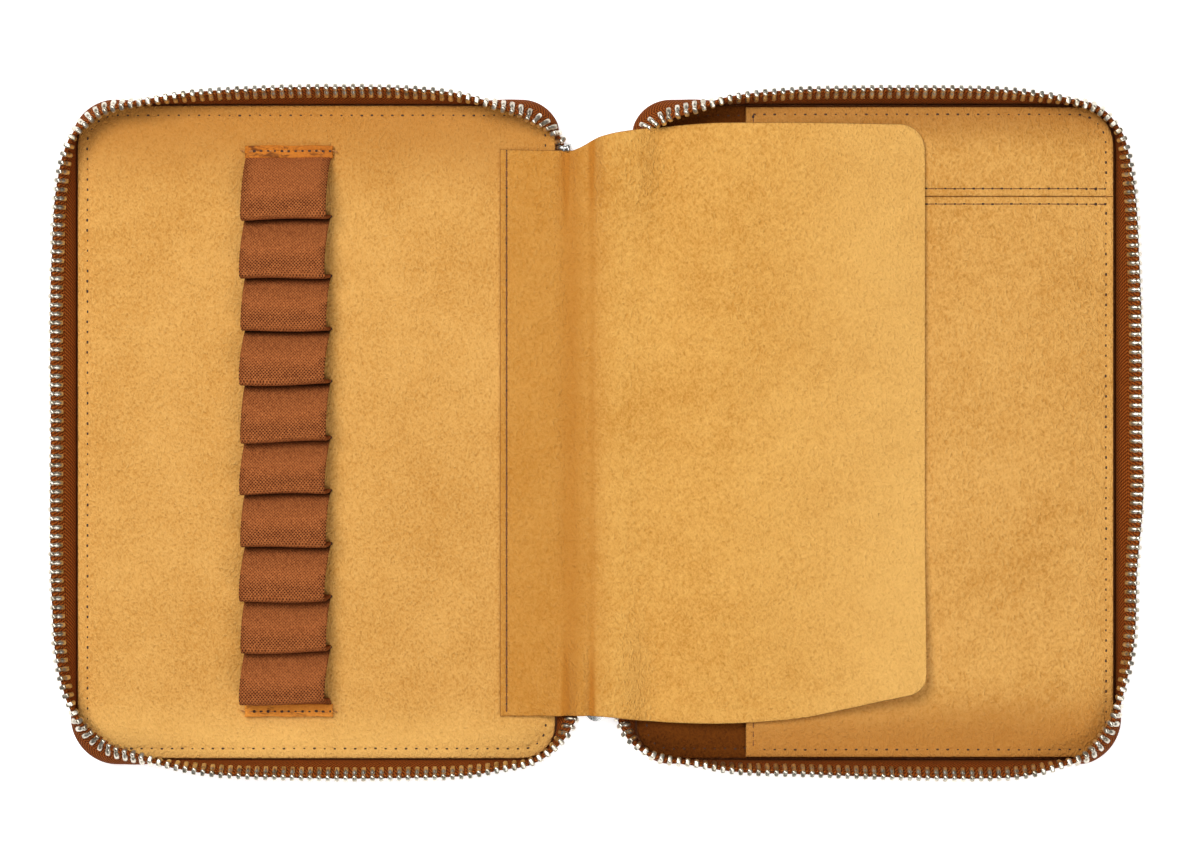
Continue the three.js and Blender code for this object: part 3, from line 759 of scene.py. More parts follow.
def dress(obj, material):
    """Gives a carried-over CAD piece its material."""
    obj.data.materials.clear()
    obj.data.materials.append(material)


# ------------------------------------------------------------------ outer leather
FOLD_REACH = 2.2
UNDER_GUTTER = 1.2
GUTTER_LINING_Z = 2.15
GUTTER_LINING_THICKNESS = 0.5


def build_covers():
    """Each side's leather runs from its outer edge over the fold to the middle of the spine."""
    for side in (-1, 1):
        name, body = NAME_OF_SIDE[side], BODY_OF_SIDE[side]
        cover = ring_panel(
            "leather_cover_" + name,
            half_outline(side, COVER_MARGIN, UNDER_GUTTER),
            [(0.0, 0.5), (0.0, 1.1), (0.2, 1.45), (0.6, COVER_TOP), (4, COVER_TOP), (30, COVER_TOP)],
            0.0,
            COVER_LEATHER,
        )
        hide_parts("cover_" + name)
        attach(cover, body)
        fold = np.linspace(0, INNER_X + 1.5, 26)
        run = np.linspace(SPINE_LOW[1], SPINE_HIGH[1], 90)
        gx, gy = np.meshgrid(fold * side, run, indexing="ij")
        middle = np.stack([gx, gy, np.full_like(gx, COVER_TOP / 2)], axis=2)
        points, faces, _ = sheet_solid(middle, COVER_TOP - 0.04, 0.3)
        hinge = face_out(make_object("leather_fold_" + name, points, faces, COVER_LEATHER))
        if side > 0:
            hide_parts("spine_cover")
        blend_over_fold(hinge, side)
        gutter = np.stack([gx, gy, np.full_like(gx, GUTTER_LINING_Z)], axis=2)
        points, faces, _ = sheet_solid(gutter, GUTTER_LINING_THICKNESS, 0.15)
        lining = face_out(make_object("gutter_lining_" + name, points, faces, SUEDE))
        if side > 0:
            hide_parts("spine_lining")
        blend_over_fold(lining, side)


def blend_beside_spine(obj, side, near, far):
    """Bakes a piece's transform into its mesh and does not bend it; near and far, the places of its half and
    of the spine in millimetres from the middle, are not used.
    """
    near = (near * side * MM, 0, 0)
    far = (far * side * MM, 0, 0)
    if side < 0:
        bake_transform(obj)
    else:
        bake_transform(obj)


def blend_over_fold(obj, side):
    fold = INNER_X - 0.2
    blend_beside_spine(obj, side, fold + FOLD_REACH, fold - FOLD_REACH)


# ------------------------------------------------------------------ zip tape and teeth
TAPE_THICKNESS = 0.7
FOOT_OFFSET = 0.3 + 0.45 + 0.05
FOOT_Z = cad_box_mm("tape_right")[0][2]
WALL_REACH = 12.1
WALL_END_Y = 80.5
WALL_BEND = (22, 3)
# Share of the wall's height that is left at its end, and how far from the end it is full again.
TOP_END_SINK = (0.1, 20.0)
BOTTOM_END_SINK = (0.42, 17.0)
UPRIGHT_SHARE = 0.22
TAPE_BOW = 0.7
TAPE_SHARE = 0.86
TOOTH_PITCH = 2.65
TOOTH_HALF = 2.0
TEETH_RISE = 1 - TOOTH_HALF / WALL_REACH
# Along the foot: where each side's first tooth sits, what the last one leaves, and the top stop.
TEETH_START = {-1: 7.0, 1: 11.0}
TEETH_END_GAP = 0.8
STOP_AT = 4.8
STOP_SCALE = (1.0, 1.6, 1.15)
CORD_RADIUS = 0.75
CORD_TWIST = 0.9

# How far the teeth's tips lean out past the foot: (distance along the foot from the gutter end, lean).
# The walls fall inwards at the corners and outwards along the sides, each in its own way.
LEAN = {
    ("left", "top"): [
        (0, 4.0), (5, 3.0), (9, -1.2), (13, -5.2), (20, -7.4), (28, -4.6), (42, 1.4), (58, 4.0), (80, 4.7),
        (104, 3.9), (124, 1.9), (140, -1.9), (152, -4.8), (159, -4.0), (169, 1.8),
        (178, 4.7), (200, 7.0), (253, 7.4),
    ],
    ("left", "bottom"): [
        (0, 8.6), (6, 6.4), (12, 1.4), (18, -0.6), (26, 0.6), (40, 3.8), (62, 5.0), (94, 4.8), (118, 3.0),
        (131, -0.5), (143, -5.8), (153, -8.5), (161, -7.2), (172, 0.3), (184, 4.9), (202, 6.9), (253, 7.4),
    ],
    ("right", "top"): [
        (0, 4.0), (5, 3.0), (9, -1.8), (13, -6.0), (20, -8.4), (28, -5.8), (42, 0.3), (58, 3.0), (82, 4.1),
        (106, 4.1), (124, 3.4), (138, 1.0), (151, -2.5), (159, -1.8), (170, 2.2),
        (180, 4.6), (200, 6.5), (253, 7.9),
    ],
    ("right", "bottom"): [
        (0, 7.6), (6, 5.9), (13, 0.6), (20, -2.2), (28, -1.2), (42, 2.0), (64, 3.3), (96, 4.8), (116, 5.2),
        (130, 4.0), (143, -1.0), (154, -6.1), (161, -6.3), (171, -1.8),
        (186, 3.6), (212, 5.7), (235, 8.5), (253, 7.9),
    ],
}


class Foot:
    """The line that the tape is sewn to, from the upper gutter end round to the lower one."""

    def __init__(self):
        small, big = GUTTER_CORNER_R + FOOT_OFFSET, OUTER_CORNER_R + FOOT_OFFSET
        inner, outer = INNER_X - FOOT_OFFSET, OUTER_X + FOOT_OFFSET
        y = HALF_Y + FOOT_OFFSET
        quarter = math.pi / 2
        pieces = [
            self.line((inner, WALL_END_Y), (inner, y - small), (-1, 0)),
            self.arc((inner + small, y - small), small, 2 * quarter, quarter),
            self.line((inner + small, y), (outer - big, y), (0, 1)),
            self.arc((outer - big, y - big), big, quarter, 0),
            self.line((outer, y - big), (outer, big - y), (1, 0)),
            self.arc((outer - big, big - y), big, 0, -quarter),
            self.line((outer - big, -y), (inner + small, -y), (0, -1)),
            self.arc((inner + small, small - y), small, -quarter, -2 * quarter),
            self.line((inner, small - y), (inner, -WALL_END_Y), (-1, 0)),
        ]
        ends = [np.linalg.norm(np.diff(p, axis=0), axis=1).sum() for p, _ in pieces]
        self.gutter_corner = ends[0] + ends[1] / 2
        self.outer_corner = ends[0] + ends[1] + ends[2] + ends[3] / 2
        self.points = np.concatenate([p for p, _ in pieces])
        self.out = np.concatenate([n for _, n in pieces])
        steps = np.linalg.norm(np.diff(self.points, axis=0), axis=1)
        self.along = np.concatenate([[0], np.cumsum(np.maximum(steps, 1e-7))])
        self.length = self.along[-1]

    @staticmethod
    def line(a, b, out):
        t = np.linspace(0, 1, 60)[:, None]
        return lerp(np.array(a, float), np.array(b, float), t), np.tile(np.array(out, float), (60, 1))

    @staticmethod
    def arc(centre, radius, start, end):
        turn = np.linspace(start, end, 60)
        out = np.stack([np.cos(turn), np.sin(turn)], axis=1)
        return np.array(centre) + radius * out, out

    def at(self, s):
        point = np.stack([np.interp(s, self.along, self.points[:, k]) for k in (0, 1)], axis=-1)
        out = np.stack([np.interp(s, self.along, self.out[:, k]) for k in (0, 1)], axis=-1)
        return point, out / np.linalg.norm(out, axis=-1, keepdims=True)


FOOT = Foot()


def smooth_curve(stops, x):
    """A soft curve through (x, y) stops, level at both ends."""
    xs, ys = np.array(stops, float).T
    slopes = np.gradient(ys, xs)
    slopes[0] = slopes[-1] = 0
    i = np.clip(np.searchsorted(xs, x, side="right") - 1, 0, len(xs) - 2)
    width = xs[i + 1] - xs[i]
    t = np.clip((x - xs[i]) / width, 0, 1)
    from_left = (1 + 2 * t) * (1 - t) ** 2 * ys[i] + t * (1 - t) ** 2 * width * slopes[i]
    return from_left + t * t * (3 - 2 * t) * ys[i + 1] - t * t * (1 - t) * width * slopes[i + 1]


def flare_at(side, s):
    """How far the tips of the teeth lean out past the foot."""
    name = NAME_OF_SIDE[side]
    top = smooth_curve(LEAN[name, "top"], s)
    bottom = smooth_curve(LEAN[name, "bottom"], FOOT.length - s)
    return lerp(top, bottom, smooth(s, FOOT.length / 2 - 6, FOOT.length / 2 + 6))


def wall_point(side, s, rise, off=0.0):
    """A point of the zip wall: s along the foot, rise 0 at the foot to 1 at the teeth's tips."""
    s, rise, off = np.broadcast_arrays(np.asarray(s, float), rise, off)
    foot, out = FOOT.at(s)
    flare = flare_at(side, s)
    sink = lerp(TOP_END_SINK[0], 1, smooth(s, 2, TOP_END_SINK[1]))
    sink = sink * lerp(BOTTOM_END_SINK[0], 1, smooth(FOOT.length - s, 0, BOTTOM_END_SINK[1]))
    height = sink * np.sqrt(WALL_REACH**2 - flare**2)
    bend = np.maximum(rise - UPRIGHT_SHARE, 0) / (1 - UPRIGHT_SHARE)
    slope_out = 2 * flare * bend / (1 - UPRIGHT_SHARE)
    size = np.hypot(slope_out, height)
    # Where the wall leans in, the tape bows out below its teeth.
    bow = TAPE_BOW * smooth(-flare, 0, 5) * np.sin(math.pi * np.clip(rise, 0, 1))
    outwards = flare * bend**2 + bow + height / size * off
    flat = foot + out * outwards[..., None]
    z = FOOT_Z + height * rise - slope_out / size * off
    return np.stack([side * flat[..., 0], flat[..., 1], z], axis=-1)


def build_tape(side):
    name = NAME_OF_SIDE[side]
    along = np.linspace(0, FOOT.length, 760)
    rise = np.linspace(0, TAPE_SHARE, 15)
    s, r = np.meshgrid(along, rise, indexing="ij")
    middle = wall_point(side, s, r)
    points, faces, shares = sheet_solid(middle, TAPE_THICKNESS, 0.2)
    width = TAPE_SHARE * WALL_REACH
    weave = np.column_stack([shares[:, 0] * FOOT.length, shares[:, 1] * width, 0 * shares[:, 0]])
    tape = face_out(make_object("zip_tape_" + name, points, faces, TAPE, weave))
    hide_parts("tape_" + name)
    blend_wall_end(tape, side)


def blend_wall_end(obj, side):
    """Bakes a wall piece's transform into its mesh; the wall's two ends are not bent down with the spine."""
    blend_beside_spine(obj, side, *WALL_BEND)


def tooth_shape():
    """One tooth, along x from its legs to its head: a clamped jaw, a waist and a nub."""
    # (place along the tooth, half width along the tape, half thickness)
    sections = [
        (-2.0, 0.60, 1.1),
        (-1.85, 0.74, 1.3),
        (-0.6, 0.78, 1.4),
        (0.25, 0.72, 1.32),
        (0.6, 0.56, 1.15),
        (1.05, 0.74, 1.25),
        (1.7, 0.74, 1.15),
        (1.95, 0.6, 0.9),
        (2.0, 0.4, 0.6),
    ]
    sides = 12
    points = []
    for x, width, thick in sections:
        for k in range(sides):
            turn = 2 * math.pi * (k + 0.5) / sides
            c, s = math.cos(turn), math.sin(turn)
            # A rounded square section
            square = (abs(c) ** 4 + abs(s) ** 4) ** -0.25
            points.append((x, width * c * square, thick * s * square))
    faces = grid_faces(len(sections), sides, 0, wrap_columns=True)
    faces.append(tuple(range(sides - 1, -1, -1)))
    last = (len(sections) - 1) * sides
    faces.append(tuple(range(last, last + sides)))
    return points, faces


def wall_frame(side, s, rise):
    """Origin and axes on the wall: x up the wall, y along it, z square to it."""
    origin = wall_point(side, s, rise)
    ax = wall_point(side, s, rise + 0.04) - wall_point(side, s, rise - 0.04)
    ay = wall_point(side, min(s + 0.3, FOOT.length), rise) - wall_point(side, max(s - 0.3, 0), rise)
    ax = ax / np.linalg.norm(ax)
    ay = ay - ax * np.dot(ax, ay)
    ay = ay / np.linalg.norm(ay)
    return origin, ax, ay, np.cross(ax, ay)


def build_teeth(side):
    name = NAME_OF_SIDE[side]
    # The teeth keep their pitch along their own line, which is longer or shorter than the foot.
    dense = np.linspace(TEETH_START[side], FOOT.length - TEETH_END_GAP, 4000)
    line = wall_point(side, dense, TEETH_RISE)
    run = np.concatenate([[0], np.cumsum(np.linalg.norm(np.diff(line, axis=0), axis=1))])
    count = int(run[-1] / TOOTH_PITCH)
    places = np.interp(np.arange(count) * TOOTH_PITCH + (side > 0) * TOOTH_PITCH / 2, run, dense)
    points, faces = tooth_shape()
    frames = [wall_frame(side, s, TEETH_RISE) for s in places]
    teeth = face_out(stamp("zip_teeth_" + name, points, faces, frames, TEETH))
    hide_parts("teeth_" + name)
    blend_wall_end(teeth, side)
    # The corded edge that the teeth bite on
    s = np.linspace(0, FOOT.length, 900)
    turn = np.linspace(0, 2 * math.pi, 9)[:-1]
    gs, gt = np.meshgrid(s, turn, indexing="ij")
    radius = CORD_RADIUS + 0.06 * np.sin(gs * 2 * math.pi / CORD_TWIST + gt)
    up = TAPE_SHARE + radius * np.cos(gt) / WALL_REACH
    cord_points = wall_point(side, gs, up, radius * np.sin(gt))
    flat = cord_points.reshape(-1, 3)
    faces = grid_faces(len(s), len(turn), 0, wrap_columns=True)
    faces += [tuple(range(len(turn))), tuple(range(len(flat) - 1, len(flat) - len(turn) - 1, -1))]
    weave = np.column_stack([gs.ravel(), gt.ravel() * 0.5, 0 * gs.ravel()])
    cord = face_out(make_object("zip_edge_cord_" + name, flat, faces, TAPE, weave))
    blend_wall_end(cord, side)


def build_top_stop(side):
    name = NAME_OF_SIDE[side]
    points, faces = tooth_shape()
    scaled = np.array(points) * np.array(STOP_SCALE)
    frames = [wall_frame(side, STOP_AT, TEETH_RISE)]
    stop = face_out(stamp("zip_top_stop_" + name, scaled, faces, frames, NICKEL))
    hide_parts("top_stop_" + name)
    blend_wall_end(stop, side)


# ------------------------------------------------------------------ pen loops
LOOP_COUNT = 10
BAND_THICKNESS = 1.1
BAND_X = (LOOP_LOW[0] + LOOP_HIGH[0]) / 2
BAND_HALF = (LOOP_HIGH[0] - LOOP_LOW[0]) / 2
LOOPS_TOP_Y = TAB_TOP_LOW[1]
LOOPS_BOTTOM_Y = TAB_BOTTOM_HIGH[1]
# The sewer's spacing wanders a little from loop to loop.
LOOP_SHARES = np.array([17.4, 17.8, 15.8, 15.7, 16.8, 15.9, 15.8, 15.8, 15.2, 17.0])
LOOP_DEPTHS = LOOP_SHARES / LOOP_SHARES.sum() * (LOOPS_TOP_Y - LOOPS_BOTTOM_Y)
LOOP_STARTS = LOOPS_TOP_Y - np.concatenate([[0], np.cumsum(LOOP_DEPTHS)])
LOOP_HEIGHT = 8.9
CREST_SHIFT = 1.05
CREST_NARROWING = 0.1
CREST_SAG = 0.35
BAND_BOTTOM = LINING_TOP + 0.1
# One loop from its upper seam to its lower one: shares of the loop's depth, and of its height.
# It climbs gently, folds over sharply at the crest, and hangs back to the seam beneath it.
LOOP_FORM = np.array([
    (0.0, 0.0), (0.02, 0.1), (0.08, 0.25), (0.18, 0.42), (0.34, 0.62),
    (0.52, 0.8), (0.72, 0.93), (0.88, 0.99), (0.97, 0.985), (1.02, 0.93),
    (1.035, 0.82), (1.03, 0.65), (1.02, 0.45), (1.01, 0.22), (1.0, 0.0),
])


def loop_line(index, samples):
    """The band's mid-line over one loop, as y and z with even steps."""
    form = LOOP_FORM.copy()
    form[:, 1] *= LOOP_HEIGHT * (0.97 + 0.03 * math.sin(2.1 * index + 0.5))
    if index == LOOP_COUNT - 1:
        form[:-1, 0] *= 0.92
    lean = 0.02 * math.cos(1.7 * index)
    form[:, 0] = (form[:, 0] + lean * form[:, 1] / LOOP_HEIGHT) * LOOP_DEPTHS[index]
    knots = np.linspace(0, 1, len(form))
    fine = np.linspace(0, 1, 400)
    dense = np.stack([smooth_path(knots, form[:, k], fine) for k in (0, 1)], axis=1)
    run = np.concatenate([[0], np.cumsum(np.linalg.norm(np.diff(dense, axis=0), axis=1))])
    even = np.linspace(0, run[-1], samples)
    y = LOOP_STARTS[index] - np.interp(even, run, dense[:, 0])
    return y, BAND_BOTTOM + BAND_THICKNESS / 2 + np.interp(even, run, dense[:, 1])


def smooth_path(knots, values, at):
    """Values between evenly spaced knots, with a continuous direction."""
    slopes = np.gradient(values, knots)
    i = np.clip(np.searchsorted(knots, at, side="right") - 1, 0, len(knots) - 2)
    width = knots[1] - knots[0]
    t = (at - knots[i]) / width
    near = (1 + 2 * t) * (1 - t) ** 2 * values[i] + t * (1 - t) ** 2 * width * slopes[i]
    return near + t * t * (3 - 2 * t) * values[i + 1] - t * t * (1 - t) * width * slopes[i + 1]


def build_band():
    """One elastic band, sewn down between its loops."""
    ys, zs, lifts, tight, roots = [], [], [], [], []
    for i in range(LOOP_COUNT):
        y, z = loop_line(i, 61)
        skip = 0 if i == 0 else 1
        share = np.linspace(0, 1, 61)
        ys.append(y[skip:])
        zs.append(z[skip:])
        lifts.append(((z - BAND_BOTTOM) / LOOP_HEIGHT)[skip:])
        tight.append(bump(share, 0.6, 0.1)[skip:])
        # All but the first loop start in the shade of the fold above them.
        shade = 0.78 * (1 - smooth(share, 0.08, 0.17)) + 0.22 * (1 - smooth(share, 0.12, 0.5))
        roots.append(skip * shade[skip:])
    y, z = np.concatenate(ys), np.concatenate(zs)
    lift, tight, roots = np.concatenate(lifts), np.concatenate(tight), np.concatenate(roots)
    run = np.concatenate([[0], np.cumsum(np.hypot(np.diff(y), np.diff(z)))])
    columns = np.linspace(-1, 1, 41)
    gr, gc = np.meshgrid(np.arange(len(y)), columns, indexing="ij")
    half = BAND_HALF - CREST_NARROWING * lift[gr]
    x = BAND_X + gc * half + (0.2 * np.sin(run[gr] * 0.11) - CREST_SHIFT) * lift[gr]
    # The crests sag a little between the band's edges, and do not run quite straight.
    sag = CREST_SAG * lift[gr] * (1 - gc**2)
    loop_number = np.searchsorted(-LOOP_STARTS[1:-1], -y[gr])
    wave = lift[gr] * (0.35 * np.sin(2.1 * gc + 1.3 * loop_number) + 0.25 * gc)
    middle = np.stack([x, y[gr] + wave, z[gr] - sag], axis=2)
    points, faces, shares = sheet_solid(middle, BAND_THICKNESS, 0.25)
    at = shares[:, 0] * (len(y) - 1)
    cross = shares[:, 1] * 2 - 1
    steps = np.arange(len(y))
    open_edge = np.maximum(smooth(np.abs(cross), 0.72, 0.97), 0.9 * np.interp(at, steps, tight))
    root = np.interp(at, steps, roots)
    # Above 0 the mark is how open the weave is, and below 0 how deep in shade it lies.
    marks = np.where(root > 0.02, -root, open_edge)
    weave = np.column_stack([cross * BAND_HALF, np.interp(at, steps, run), marks])
    band = face_out(make_object("elastic_band", points, faces, ELASTIC, weave))
    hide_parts(*["pen_loop_%02d" % (i + 1) for i in range(LOOP_COUNT)])
    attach(band, "pen_side")
    for i in range(1, LOOP_COUNT):
        level = LOOP_STARTS[i]
        row = [(BAND_X - BAND_HALF + 0.8, level), (BAND_X + BAND_HALF - 0.2, level)]
        top = level_at(BAND_BOTTOM + BAND_THICKNESS)
        sew("loop_seam_%02d" % i, row, LOOP_STITCH, top, "pen_side", light=True)


def build_tab(name, node, low, high, stitch_share, leather):
    """A strip of pull-up leather over the end of the band, sewn along its middle."""
    x = np.linspace(low[0], high[0], 70)
    y = np.linspace(low[1], high[1], 12)
    gx, gy = np.meshgrid(x, y, indexing="ij")
    across = (gy - low[1]) / (high[1] - low[1])
    top = high[2] - 0.1 - 0.25 * bump(across, stitch_share, 0.16) + 0.06 * np.sin(gx * 1.3)
    middle = np.stack([gx + 0.08 * np.sin(gy * 2.0), gy + 0.08 * np.sin(gx * 0.5), top - 0.65], axis=2)
    points, faces, _ = sheet_solid(middle, 1.3, 0.35)
    tab = face_out(make_object(name, points, faces, leather))
    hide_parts(node)
    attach(tab, "pen_side")
    level = lerp(low[1], high[1], stitch_share)
    row = [(low[0] + 0.8, level), (high[0] - 0.8, level)]
    surface = level_at(high[2] - 0.3)
    sew(name + "_stitches", row, TAB_STITCH, surface, "pen_side", shown=0.0, hole=0.42, light=True)
    for side, end in ((-1, low[0]), (1, high[0])):
        tail, faces = capsule(2.2, 0.2)
        ax = np.array([side * math.cos(0.5), -side * math.sin(0.5) * 0.6, -0.25])
        ax /= np.linalg.norm(ax)
        ay = np.cross([0, 0, 1.0], ax)
        ay /= np.linalg.norm(ay)
        origin = np.array([end + side * 0.4, level, high[2] - 0.75])
        frames = [(origin, ax, ay, np.cross(ax, ay))]
        thread_end = stamp("%s_tail_%s" % (name, NAME_OF_SIDE[side]), tail, faces, frames, THREAD)
        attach(thread_end, "pen_side")


# ------------------------------------------------------------------ divider flap
FLAP_THICKNESS = 1.15
FLAP_HALF_Y = HEM_HIGH[1]
HEM_SEAM_X = HEM_LOW[0] + 2.0


# The flap's two short edges as (x, y) stops: level beside the seam, then an S out to the full width.
FLAP_TOP_EDGE = [
    (-29, 84.7), (-9.5, 84.5), (-6.4, 84.6), (-3.5, 85.9), (-0.5, 87.6), (4, 88.9), (12, 90.3),
    (30, 92.2), (52, 92.5), (99, 92.0),
]
FLAP_BOTTOM_EDGE = [
    (-29, -85.2), (-12, -85.0), (-4, -84.6), (4, -85.0), (14, -86.4), (28, -87.2), (50, -86.6),
    (62, -85.4), (76, -82.4), (88, -79.6), (99, -77.8),
]
TOP_CORNER_R = 7.5
BOTTOM_CORNER_R = 5.0
VALLEY_DEPTH = 1.3
CREASE_DEPTH = 1.0
SHOULDER_HEIGHT = 0.9
RIDGE_HEIGHT = 1.3
OVER_POCKET = 2.6
OVER_SLIDER = 5.6
OVER_TAPE_END = 3.4
CORNER_CURL = 5


def flap_top(x):
    into = np.maximum(x - (FLAP_HIGH[0] - TOP_CORNER_R), 0)
    drop = TOP_CORNER_R - np.sqrt(np.maximum(TOP_CORNER_R**2 - into**2, 0))
    return smooth_curve(FLAP_TOP_EDGE, x) - drop


def flap_bottom(x):
    into = np.maximum(x - (FLAP_HIGH[0] - BOTTOM_CORNER_R), 0)
    rise = BOTTOM_CORNER_R - np.sqrt(np.maximum(BOTTOM_CORNER_R**2 - into**2, 0))
    return smooth_curve(FLAP_BOTTOM_EDGE, x) + rise


def flap_height(x, y):
    """Underside of the flap: flat at its seam, down into the gutter, over the slider and the pocket."""
    rest = LINING_TOP + 0.1 + 0.2 * smooth(x, -24, -18)
    # The folds are deep at the flap's two ends and shallow between them.
    ends = 0.3 + 0.7 * smooth(np.abs(y), 55, 86)
    valley = -VALLEY_DEPTH * bump(x, -8.8, 2.2) * ends - 0.5 * bump(x, -7, 6)
    crease = -CREASE_DEPTH * bump(x, -0.9 + 0.012 * y, 1.5) * ends
    shoulder = SHOULDER_HEIGHT * bump(x, -4.6, 2.0) * ends
    ridge = RIDGE_HEIGHT * bump(x, 6, 7)
    over_pocket = OVER_POCKET * smooth(x, 8, 44)
    over_slider = OVER_SLIDER * bump(x, 0, 13, 4) * smooth(-y, 40, 71)
    over_tape_end = OVER_TAPE_END * bump(x, 8, 9, 4) * smooth(y, 50, 84)
    curl = CORNER_CURL * smooth(x, 60, FLAP_HIGH[0]) * smooth(-y, 20, 88)
    wave = 0.35 * np.sin(x * 0.07 + y * 0.035) * smooth(x, 20, 50)
    slack = 0.25 * np.sin(y * 0.06 + 1.0) * bump(x, 18, 14)
    folds = valley + crease + shoulder + np.maximum(ridge, over_slider)
    return rest + folds + over_pocket + over_tape_end + curl + wave + slack


def build_flap():
    """A single suede sheet: its strip is sewn to the pen side, and the rest turns over the gutter."""
    edge = np.concatenate([
        np.linspace(HEM_LOW[0], -14, 22)[:-1],
        np.linspace(-14, 14, 57)[:-1],
        np.linspace(14, FLAP_HIGH[0] - 9, 60)[:-1],
        FLAP_HIGH[0] - 9 * (1 - np.sin(np.linspace(0, math.pi / 2, 16))),
    ])
    across = np.linspace(0, 1, 131)
    gx, gv = np.meshgrid(edge, across, indexing="ij")
    gy = lerp(flap_bottom(gx), flap_top(gx), gv)
    z = flap_height(gx, gy) + FLAP_THICKNESS / 2
    z = z - 0.4 * bump(gx, HEM_SEAM_X, 0.6)
    middle = np.stack([gx, gy, z], axis=2)
    points, faces, _ = sheet_solid(middle, FLAP_THICKNESS, 0.3)
    rim = 3 * 2 * (len(edge) + len(across) - 2)
    marks = edge_marks(len(points), rim)
    flap = face_out(make_object("suede_divider_flap", points, faces, SUEDE_FLAP, marks))
    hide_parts("divider_flap", "divider_flap_hem")
    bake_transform(flap)
    widths = (flap_top(edge) - flap_bottom(edge))
    top = LINING_TOP + 0.1 + FLAP_THICKNESS - 0.4
    row = [(HEM_SEAM_X, -FLAP_HALF_Y + 0.8), (HEM_SEAM_X, FLAP_HALF_Y - 0.8)]
    sew("flap_seam", row, FLAP_STITCH, level_at(top), "pen_side", shown=0.3, hole=0.42, thread=0.4)


# ------------------------------------------------------------------ pocket
POCKET_THICKNESS = 1.2
POCKET_SEAM_Y = (POCKET_HIGH[1] + STRIP_LOW[1]) / 2
POCKET_TOP = POCKET_HIGH[2]


def pocket_shape(x, y):
    """The pocket is drawn down to the lining at its sewn sides and stands a little open at its mouth."""
    sewn = np.minimum(OUTER_X - 0.6 - x, HALF_Y - 0.6 - np.abs(y))
    down = -0.75 * (1 - smooth(sewn, 2, 12))
    wave = 0.12 * np.sin(x * 0.05 + 1) * np.sin(y * 0.04) * smooth(sewn, 6, 30)
    return down + wave


def pocket_seam_height(x, y):
    return POCKET_TOP - SEAM_DEPTH + pocket_shape(x, y)


def build_pocket():
    r = OUTER_CORNER_R - 0.6
    seam_rows = 2.3
    profile = [(0.0, POCKET_TOP - 0.75), (0.05, POCKET_TOP - 0.42), (0.22, POCKET_TOP - 0.18)]
    profile += [(0.55, POCKET_TOP - 0.04), (1.0, POCKET_TOP)]
    profile += [
        (seam_rows + share * SEAM_HALF_WIDTH, POCKET_TOP - SEAM_DEPTH * (1 - abs(share)) ** 1.5)
        for share in (-1, -0.5, 0, 0.5, 1)
    ]
    profile += [(inset, POCKET_TOP) for inset in (4.5, 6.5, 9, 12)]
    x0, x1 = POCKET_LOW[0], POCKET_HIGH[0]
    panels = [
        ("pocket_panel", "pocket_main", x0, x1, POCKET_LOW[1], POCKET_SEAM_Y - 0.02, [0.3, r, 0.1, 0.1]),
        ("pocket_strip", "pocket_top_strip", x0, x1, POCKET_SEAM_Y + 0.02, STRIP_HIGH[1], [0.1, 0.1, r, 0.3]),
    ]
    for name, node, left, right, low, high, radii in panels:
        deepest = (high - low) / 2 - 0.5
        rings = [(inset, z) for inset, z in profile if inset < deepest]
        if deepest > 60:
            rings += [(20, POCKET_TOP), (34, POCKET_TOP)]
        outline = partial(rounded_rectangle, left, right, low, high, radii)
        bottom = POCKET_TOP - POCKET_THICKNESS
        panel = ring_panel(name, outline, rings, bottom, SUEDE_POCKET, pocket_shape)
        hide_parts(node)
        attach(panel, "pocket_side")
    dress(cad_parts["pocket_seam_strip"], SUEDE)
    inset = 2.3
    outer = x1 - 2.6
    rows = {
        "pocket_seam_low": [(x0 + 0.6, POCKET_SEAM_Y - inset), (outer, POCKET_SEAM_Y - inset)],
        "pocket_seam_high": [(x0 + 0.6, POCKET_SEAM_Y + inset), (outer, POCKET_SEAM_Y + inset)],
        "pocket_mouth_seam": [(x0 + inset, POCKET_LOW[1] + 3), (x0 + inset, POCKET_SEAM_Y - 1)],
        "strip_mouth_seam": [(x0 + inset, POCKET_SEAM_Y + 1), (x0 + inset, STRIP_HIGH[1] - 3)],
    }
    for name, row in rows.items():
        sew(name, row, POCKET_STITCH, pocket_seam_height, "pocket_side", shown=0.12, hole=0.4)
    edge = rounded_rectangle(-60, x1, POCKET_LOW[1], STRIP_HIGH[1], [1, r, r, 1], inset)
    outside = edge[(edge[:, 0] > x0 + 2.6)]
    gap = np.argmax(np.linalg.norm(np.diff(outside, axis=0, append=outside[:1]), axis=1))
    row = np.roll(outside, -gap - 1, axis=0)
    height = pocket_seam_height
    sew("pocket_edge_seam", row, EDGE_STITCH, height, "pocket_side", shown=0.04, hole=0.4, light=True)


# ------------------------------------------------------------------ slider, pull and bottom stop
def polished(node, bevel_width, material):
    """A rounded copy of a small CAD piece, with its bevels."""
    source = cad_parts[node]
    mesh = source.data.copy()
    mesh.materials.clear()
    mesh.materials.append(material)
    piece = bpy.data.objects.new(node + "_finished", mesh)
    bpy.context.scene.collection.objects.link(piece)
    b = bmesh.new()
    b.from_mesh(mesh)
    bmesh.ops.remove_doubles(b, verts=b.verts, dist=1e-6)
    bmesh.ops.dissolve_limit(b, angle_limit=math.radians(2), verts=b.verts, edges=b.edges)
    b.to_mesh(mesh)
    b.free()
    beveled(piece, bevel_width, 3)
    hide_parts(node)
    return piece


def build_slider():
    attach(polished("slider_body", 0.3, NICKEL), "slider")
    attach(polished("slider_bridge", 0.08, NICKEL), "slider")
    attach(polished("pull_tab", 0.15, NICKEL), "pull")
    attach(polished("bottom_stop", 0.5, NICKEL), "spine")


# ------------------------------------------------------------------ stage
WORLD_LIGHT = 0.117
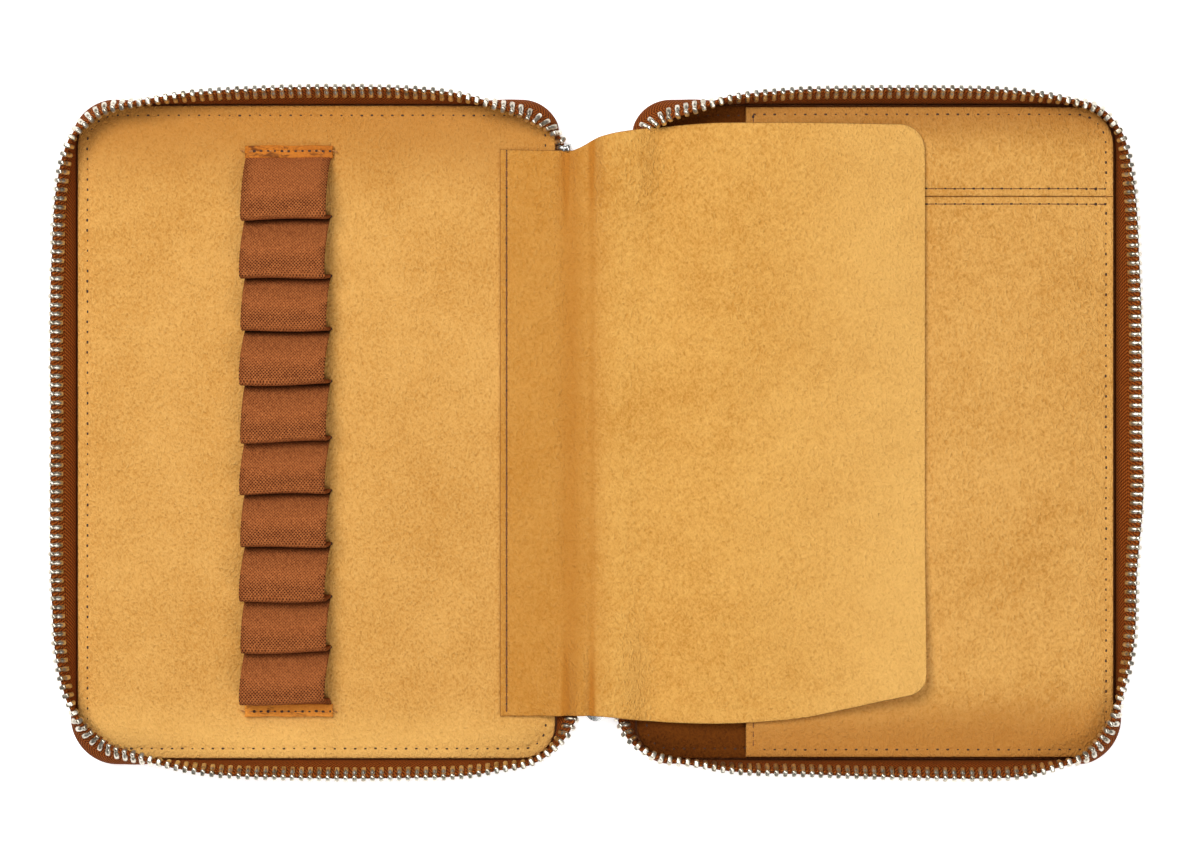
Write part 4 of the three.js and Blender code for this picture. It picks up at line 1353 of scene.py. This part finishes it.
# Name, place in metres, width in metres, power in watts
LIGHTS = [
    ("key", (-0.38, 0.42, 0.95), 0.5, 8.7),
    ("return", (0.4, -0.6, 0.9), 0.6, 4.2),
    ("overhead", (0.0, 0.0, 1.3), 0.7, 3.82),
]


FLOOR_HALF = 3.0
FLOOR_Z = -0.0002


def build_stage():
    corners = [(-1, -1, 0), (1, -1, 0), (1, 1, 0), (-1, 1, 0)]
    points = np.array(corners) * FLOOR_HALF / MM
    floor = make_object("studio_floor", points, [(0, 1, 2, 3)], floor_material())
    floor.location.z = FLOOR_Z
    world = bpy.data.worlds.new("studio")
    world.use_nodes = True
    background = world.node_tree.nodes["Background"]
    background.inputs["Color"].default_value = (1, 1, 1, 1)
    background.inputs["Strength"].default_value = WORLD_LIGHT
    bpy.context.scene.world = world
    for name, place, size, power in LIGHTS:
        data = bpy.data.lights.new(name, "AREA")
        data.shape = "SQUARE"
        data.size = size
        data.energy = power
        lamp = bpy.data.objects.new(name, data)
        lamp.location = place
        lamp.rotation_euler = towards(-np.array(place))
        bpy.context.scene.collection.objects.link(lamp)


def towards(aim):
    """The rotation that points a lamp along aim."""
    return Vector(aim).to_track_quat("-Z", "Y").to_euler()


# Millimetres, but for the picture's width in metres
LENS = 85
SENSOR = 36
PICTURE_WIDTH = 0.360
CAMERA_X, CAMERA_Y = 1.2, 1.05


def build_camera():
    """Straight down, so that the picture is 360 mm wide at the lining."""
    data = bpy.data.cameras.new("camera")
    data.lens = LENS
    data.sensor_width = SENSOR
    camera = bpy.data.objects.new("camera", data)
    distance = PICTURE_WIDTH * LENS / SENSOR
    camera.location = (CAMERA_X * MM, CAMERA_Y * MM, distance + LINING_TOP * MM)
    bpy.context.scene.collection.objects.link(camera)
    bpy.context.scene.camera = camera
    bpy.context.scene.view_settings.view_transform = "Standard"


build_camera()
build_half(-1)
build_half(1)
build_covers()
for side in (-1, 1):
    build_tape(side)
    build_teeth(side)
    build_top_stop(side)
build_band()
build_tab("leather_tab_top", "loop_tab_top", TAB_TOP_LOW, TAB_TOP_HIGH, 0.55, TAB_LEATHER)
build_tab("leather_tab_bottom", "loop_tab_bottom", TAB_BOTTOM_LOW, TAB_BOTTOM_HIGH, 0.42, TAB_LEATHER_PAINTED_LIGHT)
build_flap()
build_pocket()
build_slider()
build_stage()
